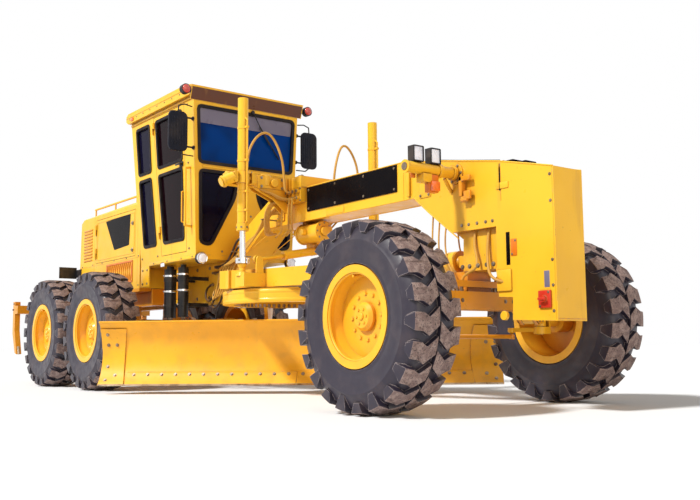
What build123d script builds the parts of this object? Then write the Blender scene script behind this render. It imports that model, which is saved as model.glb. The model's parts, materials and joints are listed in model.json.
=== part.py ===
from build123d import *
from math import atan2, cos, degrees, pi, radians, sin, tan
import os

os.makedirs("parts", exist_ok=True)

# Motor grader, millimetres. X points forward, Y to the machine's left, Z up, and Z = 0 is the ground.
# Lengths along X are written from the middle of the wheelbase and moved by MID_X on the way out,
# so that the origin is under the middle of the whole machine. Lengths along Y are written from
# the machine's own middle plane and moved by MID_Y, because the angled blade stands out further left.
MID_X = 800
MID_Y = -182

# Wheels
WHEELBASE = 5920
TANDEM_SPACING = 1524
FRONT_TRACK = 2075
REAR_TRACK = 2030
TYRE_OD = 1388
TYRE_WIDTH = 413
BEAD_R = 322
FLANGE_R = 368
FLANGE_Y = 190
RIM_WALL = 14
# Tread: lugs in each of two staggered rows, their depth, and where they begin and end across the tyre
TREAD_LUGS = 18
LUG_DEPTH = 32
LUG_INSIDE, LUG_OUTSIDE = 8, 182
LUG_LEAN = (30, -18)
LUG_SHARE = 0.31
SHOULDER = (590, 204)
DISC_Y = 45
DISC_THICK = 22
HUB_R = 105
HUB_OUT = 95
SPINDLE_R = 60
RUNNING = 0.06
SEAT_GAP = 0.3
SIDE_GAP = 0.5

# Front frame
FRAME_HALF = 160
BOOM_TOP = 2045
BOOM_BOTTOM = 1715
NOSE_X = 3900
NOSE_BOTTOM = 650
BEAM_TOP = 1440
BEAM_BOTTOM = 1000
BOLSTER_Z = 1060
BOLSTER_REAR_X = 2943
BALL_X, BALL_Z = 2790, 1150
BALL_R = 62
# The nose's sides are set back below the gooseneck: rear, front and top, and how deep
NOSE_RECESS = (2860, 3345, 1374)
RECESS_DEPTH = 50

# Hitch behind the cab
HITCH_X = -2100
HITCH_PIN_R = 45
HITCH_EAR = 75
HITCH_EAR_R = 105
HITCH_GAP = 5
TONGUE_HALF = 95

# Front axle, leaning knuckles and steering knuckles
AXLE_HALF_X = 95
AXLE_HALF_Y = 520
AXLE_BOTTOM, AXLE_TOP = 760, 900
AXLE_EAR = 34
LEAN_Y, LEAN_Z = 640, 700
LEAN_PIN_R = 32
KING_Y = 760
KING_R = 30
KING_HEAD_R = 56
KING_LOW, KING_HIGH = 640, 780
KING_EAR = 60
LEAN_BAR_Z = 960
LEAN_BAR_PIN_R = 16
TIE_X, TIE_Y = 210, LEAN_Y
TIE_Z = 555
TIE_BOSS_TOP = 20
TIE_STUD = 18
TIE_STUD_R = (8, 30)

# Drawbar, circle and blade
DRAWBAR_BOTTOM, DRAWBAR_TOP = 1050, 1225
DRAWBAR_REAR_X = 330
CIRCLE_X = 480
CIRCLE_R = 765
CIRCLE_RING = 110
CIRCLE_BOTTOM, CIRCLE_TOP = 905, 1030
CIRCLE_LIP, CIRCLE_LIP_Z = 30, 990
BLADE_ANGLE = 46.45
BLADE_MID = (235.9, 122.5)
BLADE_LENGTH = 4267
BLADE_BOTTOM, BLADE_TOP = 90, 770
BLADE_BULGE = 150
BLADE_THICK = 22
RAIL_BACK = 185
RAIL_Z = (372, 600)
RAIL_START = (152, 128.5)
RAIL_LIP = (9, 19)
RAIL_TALL = 50
ARM_SPREAD = 430
ARM_THICK = 40
BRACKET_BACK = 262
BRACKET_THICK = 60
PIVOT_BACK, PIVOT_Z = 215, 300
PIVOT_R = 27
SHIFT_BACK, SHIFT_Z = 122, 705
SHIFT_BARREL_R, SHIFT_ROD_R = 24, 15
SHIFT_BARREL = (-700, 400)
SHIFT_ROD = (-130, 950)
SHOE_PLACES = [(390, 640), (1090, 190)]

# Lift cylinders
LIFT_X, LIFT_Y = 710, 800
YOKE_Z = 2090
LIFT_TOP, LIFT_BARREL = 2865, 1285
LIFT_GLAND = LIFT_TOP - LIFT_BARREL
LIFT_BALL_Z = 1262
LIFT_BARREL_R = 50
LIFT_ROD_R = 27
LIFT_BALL_R = 46
LIFT_BALL_GAP = 6
YOKE_PIN_R = 26
CENTRE_X = 756
CENTRE_HANGER = (50, 1440)
CENTRE_EAR = (-665, 1310)
CENTRE_EAR_GAP = 10
CENTRE_EYE_GAP = 13
CENTRE_R = 40
CENTRE_PIN_R = 16
CENTRE_EYE_HALF = 20
# Boss on the yoke's outer ear: how far out, back and down it reaches
YOKE_BOSS = (215, 20, 60)
YOKE_BOSS_R = 52
# Valve block under the saddle: rear, front and bottom, with two rows of round ports
VALVE = (575, 850, 1900)
VALVE_OUT = 228
PORT_Y = -252
PORT_R = 22
PORTS_X = (613, 679, 745, 811)
PORTS_Z = (1938, 2006)

# Hoses
HOSE_R = 12
NOSE_HOSE_R = 11
THIN_HOSE_R = 7

# Cab
CAB_FLOOR, CAB_EAVE = 1485, 3225
ROOF_THICK = 127
CAB_ROOF = CAB_EAVE + ROOF_THICK
WAIST = 2510
WINDOW_HEAD = CAB_EAVE - 105
WINDOW_SILL = CAB_FLOOR + 185
CAB_FRONT_LOW, CAB_FRONT_HIGH = -572, -541
CAB_REAR_LOW, CAB_REAR_HIGH = -1962, -2175
CAB_HALF_LOW, CAB_HALF_HIGH = 620, 680
CAB_WALL = 45
DOOR_GAP = 6
DOOR_BOTTOM, DOOR_TOP = CAB_FLOOR + 50, CAB_EAVE - 55
GLASS = 6
HINGE_OUT = 14
HINGE_R = 11
HINGE_LENGTH = 70
HINGE_PLACES = (0.12, 0.88)

# Hood, rear frame and tandems
HOOD_FRONT, HOOD_REAR = -2290, -4330
HOOD_HALF = 490
HOOD_BOTTOM, HOOD_TOP = 1222, 2330
HOOD_WALL = 30
HOOD_EDGE = 45
HOOD_SIDE = [(-4330, 1222), (-4280, 2240), (-4170, 2300), (-2290, 2330), (-2290, 1222)]
HOOD_INSIDE = [(-4260, 1221), (-4215, 2190), (-4150, 2245), (-2320, 2280), (-2320, 1221)]
# Door in each side of the hood: rear, front, bottom, top
HOOD_DOOR = (-3720, -2440, 1640, 2225)
HOOD_DOOR_GAP = 6
GRILLE = (-380, 380, 1342, 2140)
GRILLE_SLATS = 12
RAIL_HALF, RAIL_WIDTH = 330, 110
RAIL_BOTTOM, RAIL_TOP = 1010, 1215
TANDEM_IN, TANDEM_OUT = 585, 765
TANDEM_BOTTOM, TANDEM_TOP = 545, 850
AXLE_HOUSING_R = 165

# Ripper
RIPPER_PIVOT_X, RIPPER_PIVOT_Z = -4560, 900
RIPPER_BEAM_X = -5360
RIPPER_HALF = 1040
RIPPER_TIP_Z = 410
SHANK_WIDTH = 75
RIPPER_BARREL_PIN = (-4820, 1350)
RIPPER_ROD_PIN = (-5268, 1165)
RIPPER_EAR_GAP = 32
RIPPER_PIN_R = 18
RIPPER_EYE_GAP = 8
REAR_PLATE_X = -4760
RAIL_REAR_X = -4700

FRONT_X = WHEELBASE / 2
REAR_X = -WHEELBASE / 2
AXLE_Z = TYRE_OD / 2


def prism(points, direction, amount):
    return extrude(make_face(Polyline(*points, close=True)), amount=amount, dir=direction)


def side_plate(outline, y0, y1):
    """An outline of (x, z) points, as thick as from y0 to y1."""
    return prism([(x, y0, z) for x, z in outline], (0, 1, 0), y1 - y0)


def cross_plate(outline, x0, x1):
    """An outline of (y, z) points, as thick as from x0 to x1."""
    return prism([(x0, y, z) for y, z in outline], (1, 0, 0), x1 - x0)


def floor_plate(outline, z0, z1):
    """An outline of (x, y) points, as thick as from z0 to z1."""
    return prism([(x, y, z0) for x, y in outline], (0, 0, 1), z1 - z0)


def block(x0, x1, y0, y1, z0, z1):
    return Pos((x0 + x1) / 2, (y0 + y1) / 2, (z0 + z1) / 2) * Box(x1 - x0, y1 - y0, z1 - z0)


def bar(start, end, radius):
    """A round bar between two points."""
    start, end = Vector(*start), Vector(*end)
    run = end - start
    return Plane(origin=start, z_dir=run) * Cylinder(
        radius, run.length, align=(Align.CENTER, Align.CENTER, Align.MIN))


def round_y(x, z, y0, y1, radius):
    return bar((x, y0, z), (x, y1, z), radius)


def round_x(y, z, x0, x1, radius):
    return bar((x0, y, z), (x1, y, z), radius)


def round_z(x, y, z0, z1, radius):
    return bar((x, y, z0), (x, y, z1), radius)


def mirrored(shape):
    """The same piece on the other side of the machine."""
    return mirror(shape, about=Plane.XZ)


def both(shape):
    return shape + mirrored(shape)


def save(node, shape):
    export_step(Pos(MID_X, MID_Y, 0) * shape, "parts/" + node + ".step")


# Tyres and rims, turned about the wheel's own axis, outboard towards +Y
def turned(profile):
    """Turns a closed outline of (radius, y) points about the Y axis."""
    return revolve(make_face(Polyline(*profile, close=True)), axis=Axis.Y)


def tyre():
    """A casing with as many flat sides as it has lugs in a row, and two staggered rows of lugs."""
    half, tip = TYRE_WIDTH / 2, TYRE_OD / 2
    root = tip - LUG_DEPTH
    side = [(BEAD_R + SEAT_GAP, half - 71), (FLANGE_R + SEAT_GAP, FLANGE_Y - 15),
            (BEAD_R + 150, half), SHOULDER, (root, LUG_OUTSIDE)]
    ring = side + [(r, -y) for r, y in reversed(side)]
    step = pi / TREAD_LUGS
    faces = []
    for lug in range(TREAD_LUGS):
        start, end = 2 * step * lug - step, 2 * step * lug + step
        for (r0, y0), (r1, y1) in zip(ring, ring[1:] + ring[:1]):
            corners = ((r0, y0, start), (r1, y1, start), (r1, y1, end), (r0, y0, end))
            faces.append(Face(Wire.make_polygon(
                [Vector(r / cos(step) * sin(a), y, -r / cos(step) * cos(a)) for r, y, a in corners],
                close=True)))
    casing = Solid(Shell(faces))
    wide = 2 * pi * tip / TREAD_LUGS * LUG_SHARE
    inner, outer = -LUG_LEAN[0], -LUG_LEAN[1]
    foot = (tip ** 2 - (wide + LUG_LEAN[0]) ** 2) ** 0.5
    lugs = []
    for row in (1, -1):
        outline = [(inner - wide, row * LUG_INSIDE), (inner + wide, row * LUG_INSIDE),
                   (outer + wide, row * LUG_OUTSIDE), (outer - wide, row * LUG_OUTSIDE)]
        lug = prism([(x, y, -foot) for x, y in outline], (0, 0, 1), foot - root + 2 * LUG_DEPTH)
        for place in range(TREAD_LUGS):
            turn = 360 / TREAD_LUGS * (place + (0 if row > 0 else 0.5))
            lugs.append(Rot(0, turn, 0) * lug.solid())
    return casing.fuse(*lugs)


def rim():
    lip = FLANGE_R
    seat = BEAD_R
    inner = seat - RIM_WALL
    outside = [(lip, FLANGE_Y), (lip, FLANGE_Y - 14), (seat + 7, TYRE_WIDTH / 2 - 48),
               (seat, TYRE_WIDTH / 2 - 70), (seat, -TYRE_WIDTH / 2 + 70),
               (seat + 7, -TYRE_WIDTH / 2 + 48), (lip, -FLANGE_Y + 14), (lip, -FLANGE_Y)]
    inside = [(lip - 60, -FLANGE_Y), (inner, -FLANGE_Y + 40), (inner - 20, DISC_Y),
              (HUB_R, DISC_Y), (HUB_R, -HUB_OUT), (SPINDLE_R + RUNNING, -HUB_OUT),
              (SPINDLE_R + RUNNING, HUB_OUT), (0, HUB_OUT), (0, HUB_OUT + 24),
              (HUB_R - 24, HUB_OUT + 24), (HUB_R, HUB_OUT), (HUB_R, DISC_Y + DISC_THICK),
              (inner - 20, DISC_Y + DISC_THICK), (inner, FLANGE_Y - 60), (lip - 55, FLANGE_Y)]
    return turned(outside + inside)


WHEELS = [
    # name, x, y of the wheel's middle
    ("front_right", FRONT_X, -FRONT_TRACK / 2),
    ("front_left", FRONT_X, FRONT_TRACK / 2),
    ("tandem_right_fore", REAR_X + TANDEM_SPACING / 2, -REAR_TRACK / 2),
    ("tandem_right_aft", REAR_X - TANDEM_SPACING / 2, -REAR_TRACK / 2),
    ("tandem_left_fore", REAR_X + TANDEM_SPACING / 2, REAR_TRACK / 2),
    ("tandem_left_aft", REAR_X - TANDEM_SPACING / 2, REAR_TRACK / 2),
]


def wheels():
    one_tyre, one_rim = tyre(), rim()
    for name, x, y in WHEELS:
        turn = Rot(0, 0, 180) if y < 0 else Rot(0, 0, 0)
        save("tyre_" + name, Pos(x, y, AXLE_Z) * turn * one_tyre)
        save("rim_" + name, Pos(x, y, AXLE_Z) * turn * one_rim)


# Front frame: nose box, gooseneck, boom, and the low beam under the cab to the hitch
def front_frame():
    outline = [
        (NOSE_X, NOSE_BOTTOM), (NOSE_X, 1745), (3403, 1862), (2753, 1976), (2300, BOOM_TOP),
        (250, BOOM_TOP), (-440, 1700), (-500, BEAM_TOP), (HITCH_X + 240, BEAM_TOP),
        (HITCH_X + 240, BEAM_BOTTOM), (-760, BEAM_BOTTOM), (-560, 1300), (60, BOOM_BOTTOM),
        (2429, BOOM_BOTTOM), (2598, 1577), (2862, 1382), (2950, 1317), (BOLSTER_REAR_X, BOLSTER_Z),
        (3333, BOLSTER_Z), (3356, 841), (3493, 834), (3487, NOSE_BOTTOM + 16)]
    frame = side_plate(outline, -FRAME_HALF, FRAME_HALF)
    rear, front, top = NOSE_RECESS
    frame -= both(block(rear, front, -FRAME_HALF - 1, RECESS_DEPTH - FRAME_HALF, BOLSTER_Z - 1, top))
    for low, high in ((BEAM_BOTTOM, BEAM_BOTTOM + HITCH_EAR), (BEAM_TOP - HITCH_EAR, BEAM_TOP)):
        frame += block(HITCH_X, HITCH_X + 241, -HITCH_EAR_R, HITCH_EAR_R, low, high)
        frame += round_z(HITCH_X, 0, low, high, HITCH_EAR_R)
    frame += round_z(HITCH_X, 0, BEAM_BOTTOM - 20, BEAM_TOP, HITCH_PIN_R)
    socket = block(BALL_X + BALL_R - 12, BOLSTER_REAR_X + 2, -55, 55, BALL_Z - 45, BALL_Z + 45)
    frame += socket + Pos(BALL_X, 0, BALL_Z) * Sphere(BALL_R)
    save("front_frame", frame)
    return frame


def boom_panels():
    """Dark plates on both sides of the boom, with a yellow flange left below them."""
    plate = block(869, 2218, -FRAME_HALF - 8, -FRAME_HALF, 1800, 2035)
    save("boom_panels", both(plate))


def lift_saddle():
    """The yoke on the boom for both lift cylinders, and the hanger below it for the shift cylinder."""
    saddle = block(330, 860, -230, 230, BOOM_TOP, BOOM_TOP + 110)
    arm = block(LIFT_X - 190, LIFT_X - 80, -LIFT_Y - 110, -230, YOKE_Z - 55, YOKE_Z + 60)
    arm += block(LIFT_X - 190, LIFT_X - 80, -240, 0, YOKE_Z - 45, YOKE_Z + 60)
    ear_out = block(LIFT_X - 90, LIFT_X + 45, -LIFT_Y - 110, -LIFT_Y - 75, YOKE_Z - 50, YOKE_Z + 50)
    ear_in = block(LIFT_X - 90, LIFT_X + 45, -LIFT_Y + 75, -LIFT_Y + 110, YOKE_Z - 50, YOKE_Z + 50)
    out, back, down = YOKE_BOSS
    ear_out += bar((LIFT_X, -LIFT_Y - 100, YOKE_Z), (LIFT_X - back, -LIFT_Y - out, YOKE_Z - down), YOKE_BOSS_R)
    ear_out -= block(LIFT_X - 100, LIFT_X + 100, -LIFT_Y - 75, -LIFT_Y, YOKE_Z - 100, YOKE_Z + 100)
    bore = round_y(LIFT_X, YOKE_Z, -LIFT_Y - 120, -LIFT_Y + 120, YOKE_PIN_R + RUNNING)
    rear, front, low = VALVE
    valve = block(rear, front, -VALVE_OUT, -FRAME_HALF - SEAT_GAP, low, BOOM_TOP + 1)
    for x in PORTS_X:
        for z in PORTS_Z:
            valve += round_y(x, z, PORT_Y, -VALVE_OUT + 1, PORT_R)
    hanger = side_plate([(560, BOOM_BOTTOM), (820, BOOM_BOTTOM), (735, 1400), (600, 1400)], 20, 80)
    hanger -= block(CENTRE_X - 24, 900, 0, 90, 1380, 1500)
    hanger += round_x(*CENTRE_HANGER, 620, CENTRE_X - 22, 42)
    hanger += round_x(*CENTRE_HANGER, 700, CENTRE_X + 20, CENTRE_PIN_R)
    hanger += round_x(-60, 1600, 640, 1010, 95) + block(640, 700, -60, 60, 1560, BOOM_BOTTOM)
    save("lift_saddle", Compound(children=(saddle + both(arm + ear_out + ear_in - bore + valve)).solids()
                                 + hanger.solids()))


def cab_box(inset):
    """The cab's tapered outside, taken in by an inset on its four sides."""
    sides = side_plate([(CAB_REAR_LOW + inset, CAB_FLOOR), (CAB_FRONT_LOW - inset, CAB_FLOOR),
                        (CAB_FRONT_HIGH - inset, CAB_EAVE), (CAB_REAR_HIGH + inset, CAB_EAVE)],
                       -CAB_HALF_HIGH, CAB_HALF_HIGH)
    low, high = CAB_HALF_LOW - inset, CAB_HALF_HIGH - inset
    ends = cross_plate([(-low, CAB_FLOOR), (low, CAB_FLOOR), (high, CAB_EAVE), (-high, CAB_EAVE)],
                       CAB_REAR_HIGH, CAB_FRONT_HIGH)
    return sides & ends


# Windows of the cab's sides as (x, z) corners, and of its ends as (y, z) corners
SIDE_WINDOWS = [
    [(-1972, WAIST + 40), (-1635, WAIST + 40), (-1673, WINDOW_HEAD), (-2030, WINDOW_HEAD)],
    [(-1860, WINDOW_SILL), (-1532, WINDOW_SILL), (-1640, WAIST - 35), (-1963, WAIST - 35)],
]
DOOR_WINDOWS = [
    [(-1446, WAIST + 45), (-839, WAIST + 45), (-839, WINDOW_HEAD), (-1497, WINDOW_HEAD)],
    [(-1335, WINDOW_SILL), (-832, WINDOW_SILL), (-845, WAIST - 40), (-1440, WAIST - 40)],
]
DOOR_OUTLINE = [(-1395, DOOR_BOTTOM), (-785, DOOR_BOTTOM), (-785, DOOR_TOP), (-1558, DOOR_TOP)]
FRONT_WINDOWS = [
    [(-600, WAIST - 20), (600, WAIST - 20), (628, WINDOW_HEAD), (-628, WINDOW_HEAD)],
    [(100, WAIST - 100), (590, WAIST - 100), (570, CAB_FLOOR + 125), (440, CAB_FLOOR + 105),
     (150, WAIST - 380)],
    [(-100, WAIST - 100), (-590, WAIST - 100), (-570, CAB_FLOOR + 125), (-440, CAB_FLOOR + 105),
     (-150, WAIST - 380)],
]
REAR_WINDOWS = [[(-560, WAIST - 110), (560, WAIST - 110), (590, WINDOW_HEAD - 20), (-590, WINDOW_HEAD - 20)]]


def shrunk(outline, by):
    """The outline with every side moved in by a distance."""
    count = len(outline)
    area = sum(outline[i - 1][0] * outline[i][1] - outline[i][0] * outline[i - 1][1] for i in range(count))
    turn = 1 if area > 0 else -1
    sides = []
    for i in range(count):
        (x0, y0), (x1, y1) = outline[i - 1], outline[i]
        length = ((x1 - x0) ** 2 + (y1 - y0) ** 2) ** 0.5
        nx, ny = -(y1 - y0) / length * turn, (x1 - x0) / length * turn
        sides.append((nx, ny, nx * x0 + ny * y0 + by))
    corners = []
    for i in range(count):
        (a, b, c), (d, e, f) = sides[i], sides[(i + 1) % count]
        corners.append(((c * e - b * f) / (a * e - b * d), (a * f - c * d) / (a * e - b * d)))
    return corners


def side_cut(outline):
    return side_plate(outline, -CAB_HALF_HIGH - 50, -CAB_HALF_LOW + 200)


def end_cut(outline, front):
    return (cross_plate(outline, CAB_FRONT_LOW - 150, CAB_FRONT_HIGH + 50) if front
            else cross_plate(outline, CAB_REAR_HIGH - 50, CAB_REAR_LOW + 150))


def door_axis():
    """The foot and the head of the right door's hinge line, outside the cab's skin."""
    def skin(z):
        share = (z - CAB_FLOOR) / (CAB_EAVE - CAB_FLOOR)
        return -(CAB_HALF_LOW + share * (CAB_HALF_HIGH - CAB_HALF_LOW)) - HINGE_OUT
    (x0, z0), (x1, z1) = DOOR_OUTLINE[0], DOOR_OUTLINE[3]
    return Vector(x0, skin(z0), z0), Vector(x1, skin(z1), z1)


def hinge(body_side):
    """Hinge barrels on the right door's line: one side's share of each pair, with its leaf."""
    foot, head = door_axis()
    run = head - foot
    unit = run.normalized()
    square = unit.cross(Vector(0, 1, 0)).normalized() * (22 if body_side else -22)
    barrels = None
    for place in HINGE_PLACES:
        start = foot + run * place + unit * (0 if body_side else HINGE_LENGTH + SEAT_GAP)
        end = start + unit * HINGE_LENGTH
        leaf = prism([tuple(start), tuple(start + square), tuple(end + square), tuple(end)],
                     tuple(unit.cross(square).normalized() * (-1 if body_side else 1)), HINGE_OUT + 3)
        piece = bar(tuple(start), tuple(end), HINGE_R) + leaf
        barrels = piece if barrels is None else barrels + piece
    return barrels


def cab():
    outer, inner = cab_box(0), cab_box(CAB_WALL)
    shell = outer - inner
    door_hole = [(x, z) for x, z in shrunk(DOOR_OUTLINE, -DOOR_GAP)]
    for outline in SIDE_WINDOWS + [door_hole]:
        shell -= both(side_cut(outline))
    for outline in FRONT_WINDOWS:
        shell -= end_cut(outline, True)
    for outline in REAR_WINDOWS:
        shell -= end_cut(outline, False)
    leaf = hinge(True) - side_cut(door_hole)
    save("cab_shell", shell + both(leaf))

    pane_skin = cab_box(20) - cab_box(20 + GLASS)
    panes = []
    for outline in SIDE_WINDOWS:
        pane = pane_skin & side_cut(shrunk(outline, SEAT_GAP))
        panes += [pane, mirrored(pane)]
    panes += [pane_skin & end_cut(shrunk(outline, SEAT_GAP), True) for outline in FRONT_WINDOWS]
    panes += [pane_skin & end_cut(shrunk(outline, SEAT_GAP), False) for outline in REAR_WINDOWS]
    save("cab_glass", Compound(children=[pane.solid() for pane in panes]))

    door = (outer - inner) & side_cut(DOOR_OUTLINE)
    for outline in DOOR_WINDOWS:
        door -= side_cut(outline)
    door += hinge(False)
    glass = [(pane_skin & side_cut(shrunk(outline, SEAT_GAP))).solid() for outline in DOOR_WINDOWS]
    save("door_right", door)
    save("door_left", mirrored(door))
    save("door_glass_right", Compound(children=glass))
    save("door_glass_left", Compound(children=[mirrored(pane).solid() for pane in glass]))

    platform = block(CAB_REAR_LOW, CAB_FRONT_LOW, -CAB_HALF_LOW, CAB_HALF_LOW, BEAM_TOP, CAB_FLOOR)
    skirt = block(CAB_REAR_LOW, CAB_REAR_LOW + 230, -CAB_HALF_LOW, -CAB_HALF_LOW + 12, 1200, BEAM_TOP)
    skirt += block(CAB_REAR_LOW, CAB_REAR_LOW + 12, -CAB_HALF_LOW, -FRAME_HALF, 1200, BEAM_TOP)
    save("cab_platform", platform + both(skirt))

    roof = side_plate([(CAB_REAR_HIGH - 55, CAB_EAVE + 37), (CAB_REAR_HIGH, CAB_EAVE),
                       (CAB_FRONT_HIGH + 3, CAB_EAVE), (CAB_FRONT_HIGH + 3, CAB_EAVE - 57),
                       (CAB_FRONT_HIGH + 51, CAB_ROOF - 30), (CAB_FRONT_HIGH - 99, CAB_ROOF),
                       (CAB_REAR_HIGH - 5, CAB_ROOF), (CAB_REAR_HIGH - 55, CAB_ROOF - 32)],
                      -CAB_HALF_HIGH - 48, CAB_HALF_HIGH + 48)
    save("cab_roof", roof)


def cab_inside():
    base = block(-1650, -1250, -190, 190, CAB_FLOOR, 1780)
    seat = base + block(-1740, -1200, -260, 260, 1780, 1920)
    back = side_plate([(-1740, 1900), (-1610, 1900), (-1690, 2520), (-1800, 2520)], -240, 240)
    save("cab_seat", seat + back)
    console = side_plate([(-1010, CAB_FLOOR), (-800, CAB_FLOOR), (-800, 2150), (-900, 2330),
                          (-1010, 2250)], -110, 110)
    wheel = Pos(-1050, 0, 2360) * Rot(0, -35, 0) * Torus(180, 14)
    column = bar((-930, 0, 2200), (-1050, 0, 2360), 22) + bar((-1050, -180, 2360), (-1050, 180, 2360), 12)
    save("cab_console", console + column + wheel)


def hood():
    section = [(-HOOD_HALF, HOOD_BOTTOM), (HOOD_HALF, HOOD_BOTTOM), (HOOD_HALF, HOOD_TOP - HOOD_EDGE),
               (HOOD_HALF - HOOD_EDGE, HOOD_TOP), (HOOD_EDGE - HOOD_HALF, HOOD_TOP),
               (-HOOD_HALF, HOOD_TOP - HOOD_EDGE)]
    inner = HOOD_HALF - HOOD_WALL
    hollow = [(-inner, HOOD_BOTTOM - 2), (inner, HOOD_BOTTOM - 2), (inner, HOOD_TOP - HOOD_EDGE - 15),
              (inner - HOOD_EDGE, HOOD_TOP - 20), (HOOD_EDGE - inner, HOOD_TOP - 20),
              (-inner, HOOD_TOP - HOOD_EDGE - 15)]
    shell = side_plate(HOOD_SIDE, -HOOD_HALF, HOOD_HALF) & cross_plate(section, HOOD_REAR, HOOD_FRONT)
    shell -= side_plate(HOOD_INSIDE, -inner, inner) & cross_plate(hollow, HOOD_REAR, HOOD_FRONT)
    hole = HOOD_DOOR_GAP
    shell -= both(block(HOOD_DOOR[0] - hole, HOOD_DOOR[1] + hole, -HOOD_HALF - 1,
                        -inner + 1, HOOD_DOOR[2] - hole, HOOD_DOOR[3] + hole))
    shell -= block(HOOD_REAR - 1, HOOD_REAR + 140, *GRILLE)
    rail = round_x(-HOOD_HALF + 65, 2412, -3940, -2530, 14)
    for x in (-3920, -3235, -2550):
        rail += round_z(x, -HOOD_HALF + 65, 2295, 2412, 11)
    handle = bar((-4385, -430, 1560), (-4385, -430, 1990), 12)
    for z in (1570, 1980):
        handle += round_x(-430, z, -4385, -4290, 9)
    save("hood", shell + both(hood_hinge(True)) + both(rail) + both(handle))

    door = block(HOOD_DOOR[0], HOOD_DOOR[1], -HOOD_HALF, -inner, HOOD_DOOR[2], HOOD_DOOR[3])
    door += hood_hinge(False)
    save("hood_door_right", door)
    save("hood_door_left", mirrored(door))

    y0, y1, z0, z1 = GRILLE
    frame = block(-4275, -4245, y0, y1, z0, z1) - block(-4280, -4240, y0 + 30, y1 - 30, z0 + 30, z1 - 30)
    for step in range(GRILLE_SLATS):
        z = z0 + 30 + (step + 0.5) * (z1 - z0 - 60) / GRILLE_SLATS
        frame += block(-4270, -4250, y0 + 10, y1 - 10, z - 11, z + 11)
    save("radiator_grille", frame)


def hood_hinge(body_side):
    """Hinge barrels of the right hood door, at its rear edge."""
    x, y = HOOD_DOOR[0], -HOOD_HALF - HINGE_OUT
    barrels = None
    for z in (HOOD_DOOR[2] + 60, HOOD_DOOR[3] - 200):
        z0 = z if body_side else z + HINGE_LENGTH + SEAT_GAP
        reach = -24 if body_side else 24
        leaf = block(min(x, x + reach), max(x, x + reach), y, y + HINGE_OUT + 3, z0, z0 + HINGE_LENGTH)
        if body_side:
            leaf -= block(x - HOOD_DOOR_GAP, x + 30, y + HINGE_OUT - 1, y + 40, z0 - 1, z0 + HINGE_LENGTH + 1)
        piece = round_z(x, y, z0, z0 + HINGE_LENGTH, HINGE_R) + leaf
        barrels = piece if barrels is None else barrels + piece
    return barrels


def engine():
    save("engine_block", block(-3850, -2650, -300, 300, RAIL_TOP, 1950))
    pipe = round_z(-3450, 40, 2290, 2860, 50) + round_z(-3450, 40, 2290, 2335, 80)
    pipe -= round_z(-3450, 40, 2400, 2900, 42) + side_plate(HOOD_SIDE, -HOOD_HALF, HOOD_HALF)
    save("exhaust", pipe)
    bracket = block(-4450, -4250, -498, -HOOD_HALF, 1490, 1600)
    bracket += block(-4450, -4440, -740, -HOOD_HALF, 1475, 1635)
    lamps = bracket
    for y in (-685, -600):
        lamps += round_x(y, 1555, -4490, -4449, 36)
    save("rear_lamps", Compound(children=[lamps.solid(), mirrored(lamps).solid()]))


def rear_frame():
    rail = block(RAIL_REAR_X, HITCH_X - 160, -RAIL_HALF, -RAIL_HALF + RAIL_WIDTH, RAIL_BOTTOM, RAIL_TOP)
    frame = both(rail)
    for x0, x1 in ((-2400, HITCH_X - 160), (-3960, -3860), (RAIL_REAR_X, RAIL_REAR_X + 100)):
        frame += block(x0, x1, -RAIL_HALF, RAIL_HALF, RAIL_BOTTOM, RAIL_TOP)
    frame += block(REAR_PLATE_X, RAIL_REAR_X, -360, 360, RAIL_BOTTOM, RAIL_TOP)
    saddle_half = AXLE_HOUSING_R - 20
    frame += both(block(REAR_X - saddle_half, REAR_X + saddle_half, -RAIL_HALF, -RAIL_HALF + RAIL_WIDTH,
                        AXLE_Z + AXLE_HOUSING_R - 25, RAIL_BOTTOM))
    frame -= round_y(REAR_X, AXLE_Z, -RAIL_HALF - 1, RAIL_HALF + 1, AXLE_HOUSING_R + SEAT_GAP)
    shelf = block(HOOD_REAR + 20, HOOD_FRONT, -HOOD_HALF, -RAIL_HALF, HOOD_BOTTOM - 40, HOOD_BOTTOM)
    frame += both(shelf)
    low = BEAM_BOTTOM + HITCH_EAR + HITCH_GAP
    high = BEAM_TOP - HITCH_EAR - HITCH_GAP
    tongue = block(HITCH_X - 161, HITCH_X, -TONGUE_HALF, TONGUE_HALF, low, high)
    tongue += round_z(HITCH_X, 0, low, high, TONGUE_HALF)
    tongue -= round_z(HITCH_X, 0, low - 1, high + 1, HITCH_PIN_R + RUNNING)
    frame += tongue
    ears = None
    for y in (-335, -235):
        ear = side_plate([(-4630, RAIL_BOTTOM + 5), (-4490, RAIL_BOTTOM + 5),
                          (-4505, RIPPER_PIVOT_Z - 55), (-4615, RIPPER_PIVOT_Z - 55)], y, y + 30)
        ears = ear if ears is None else ears + ear
    ears += round_y(RIPPER_PIVOT_X, RIPPER_PIVOT_Z, -345, -195, 30)
    frame += both(ears)
    x, z = RIPPER_BARREL_PIN
    ear = side_plate([(x - 5, z - 40), (REAR_PLATE_X, RAIL_TOP), (REAR_PLATE_X, RAIL_BOTTOM),
                      (RAIL_REAR_X, RAIL_BOTTOM), (RAIL_REAR_X, RAIL_TOP), (x + 30, z + 30), (x, z + 42), (x - 30, z + 25)],
                     -RIPPER_EAR_GAP - 25, -RIPPER_EAR_GAP)
    ear += round_y(x, z, -RIPPER_EAR_GAP - 25, -RIPPER_EAR_GAP, 42)
    frame += both(ear) + round_y(x, z, -RIPPER_EAR_GAP - 30, RIPPER_EAR_GAP + 30, RIPPER_PIN_R)
    save("rear_frame", frame)


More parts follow.
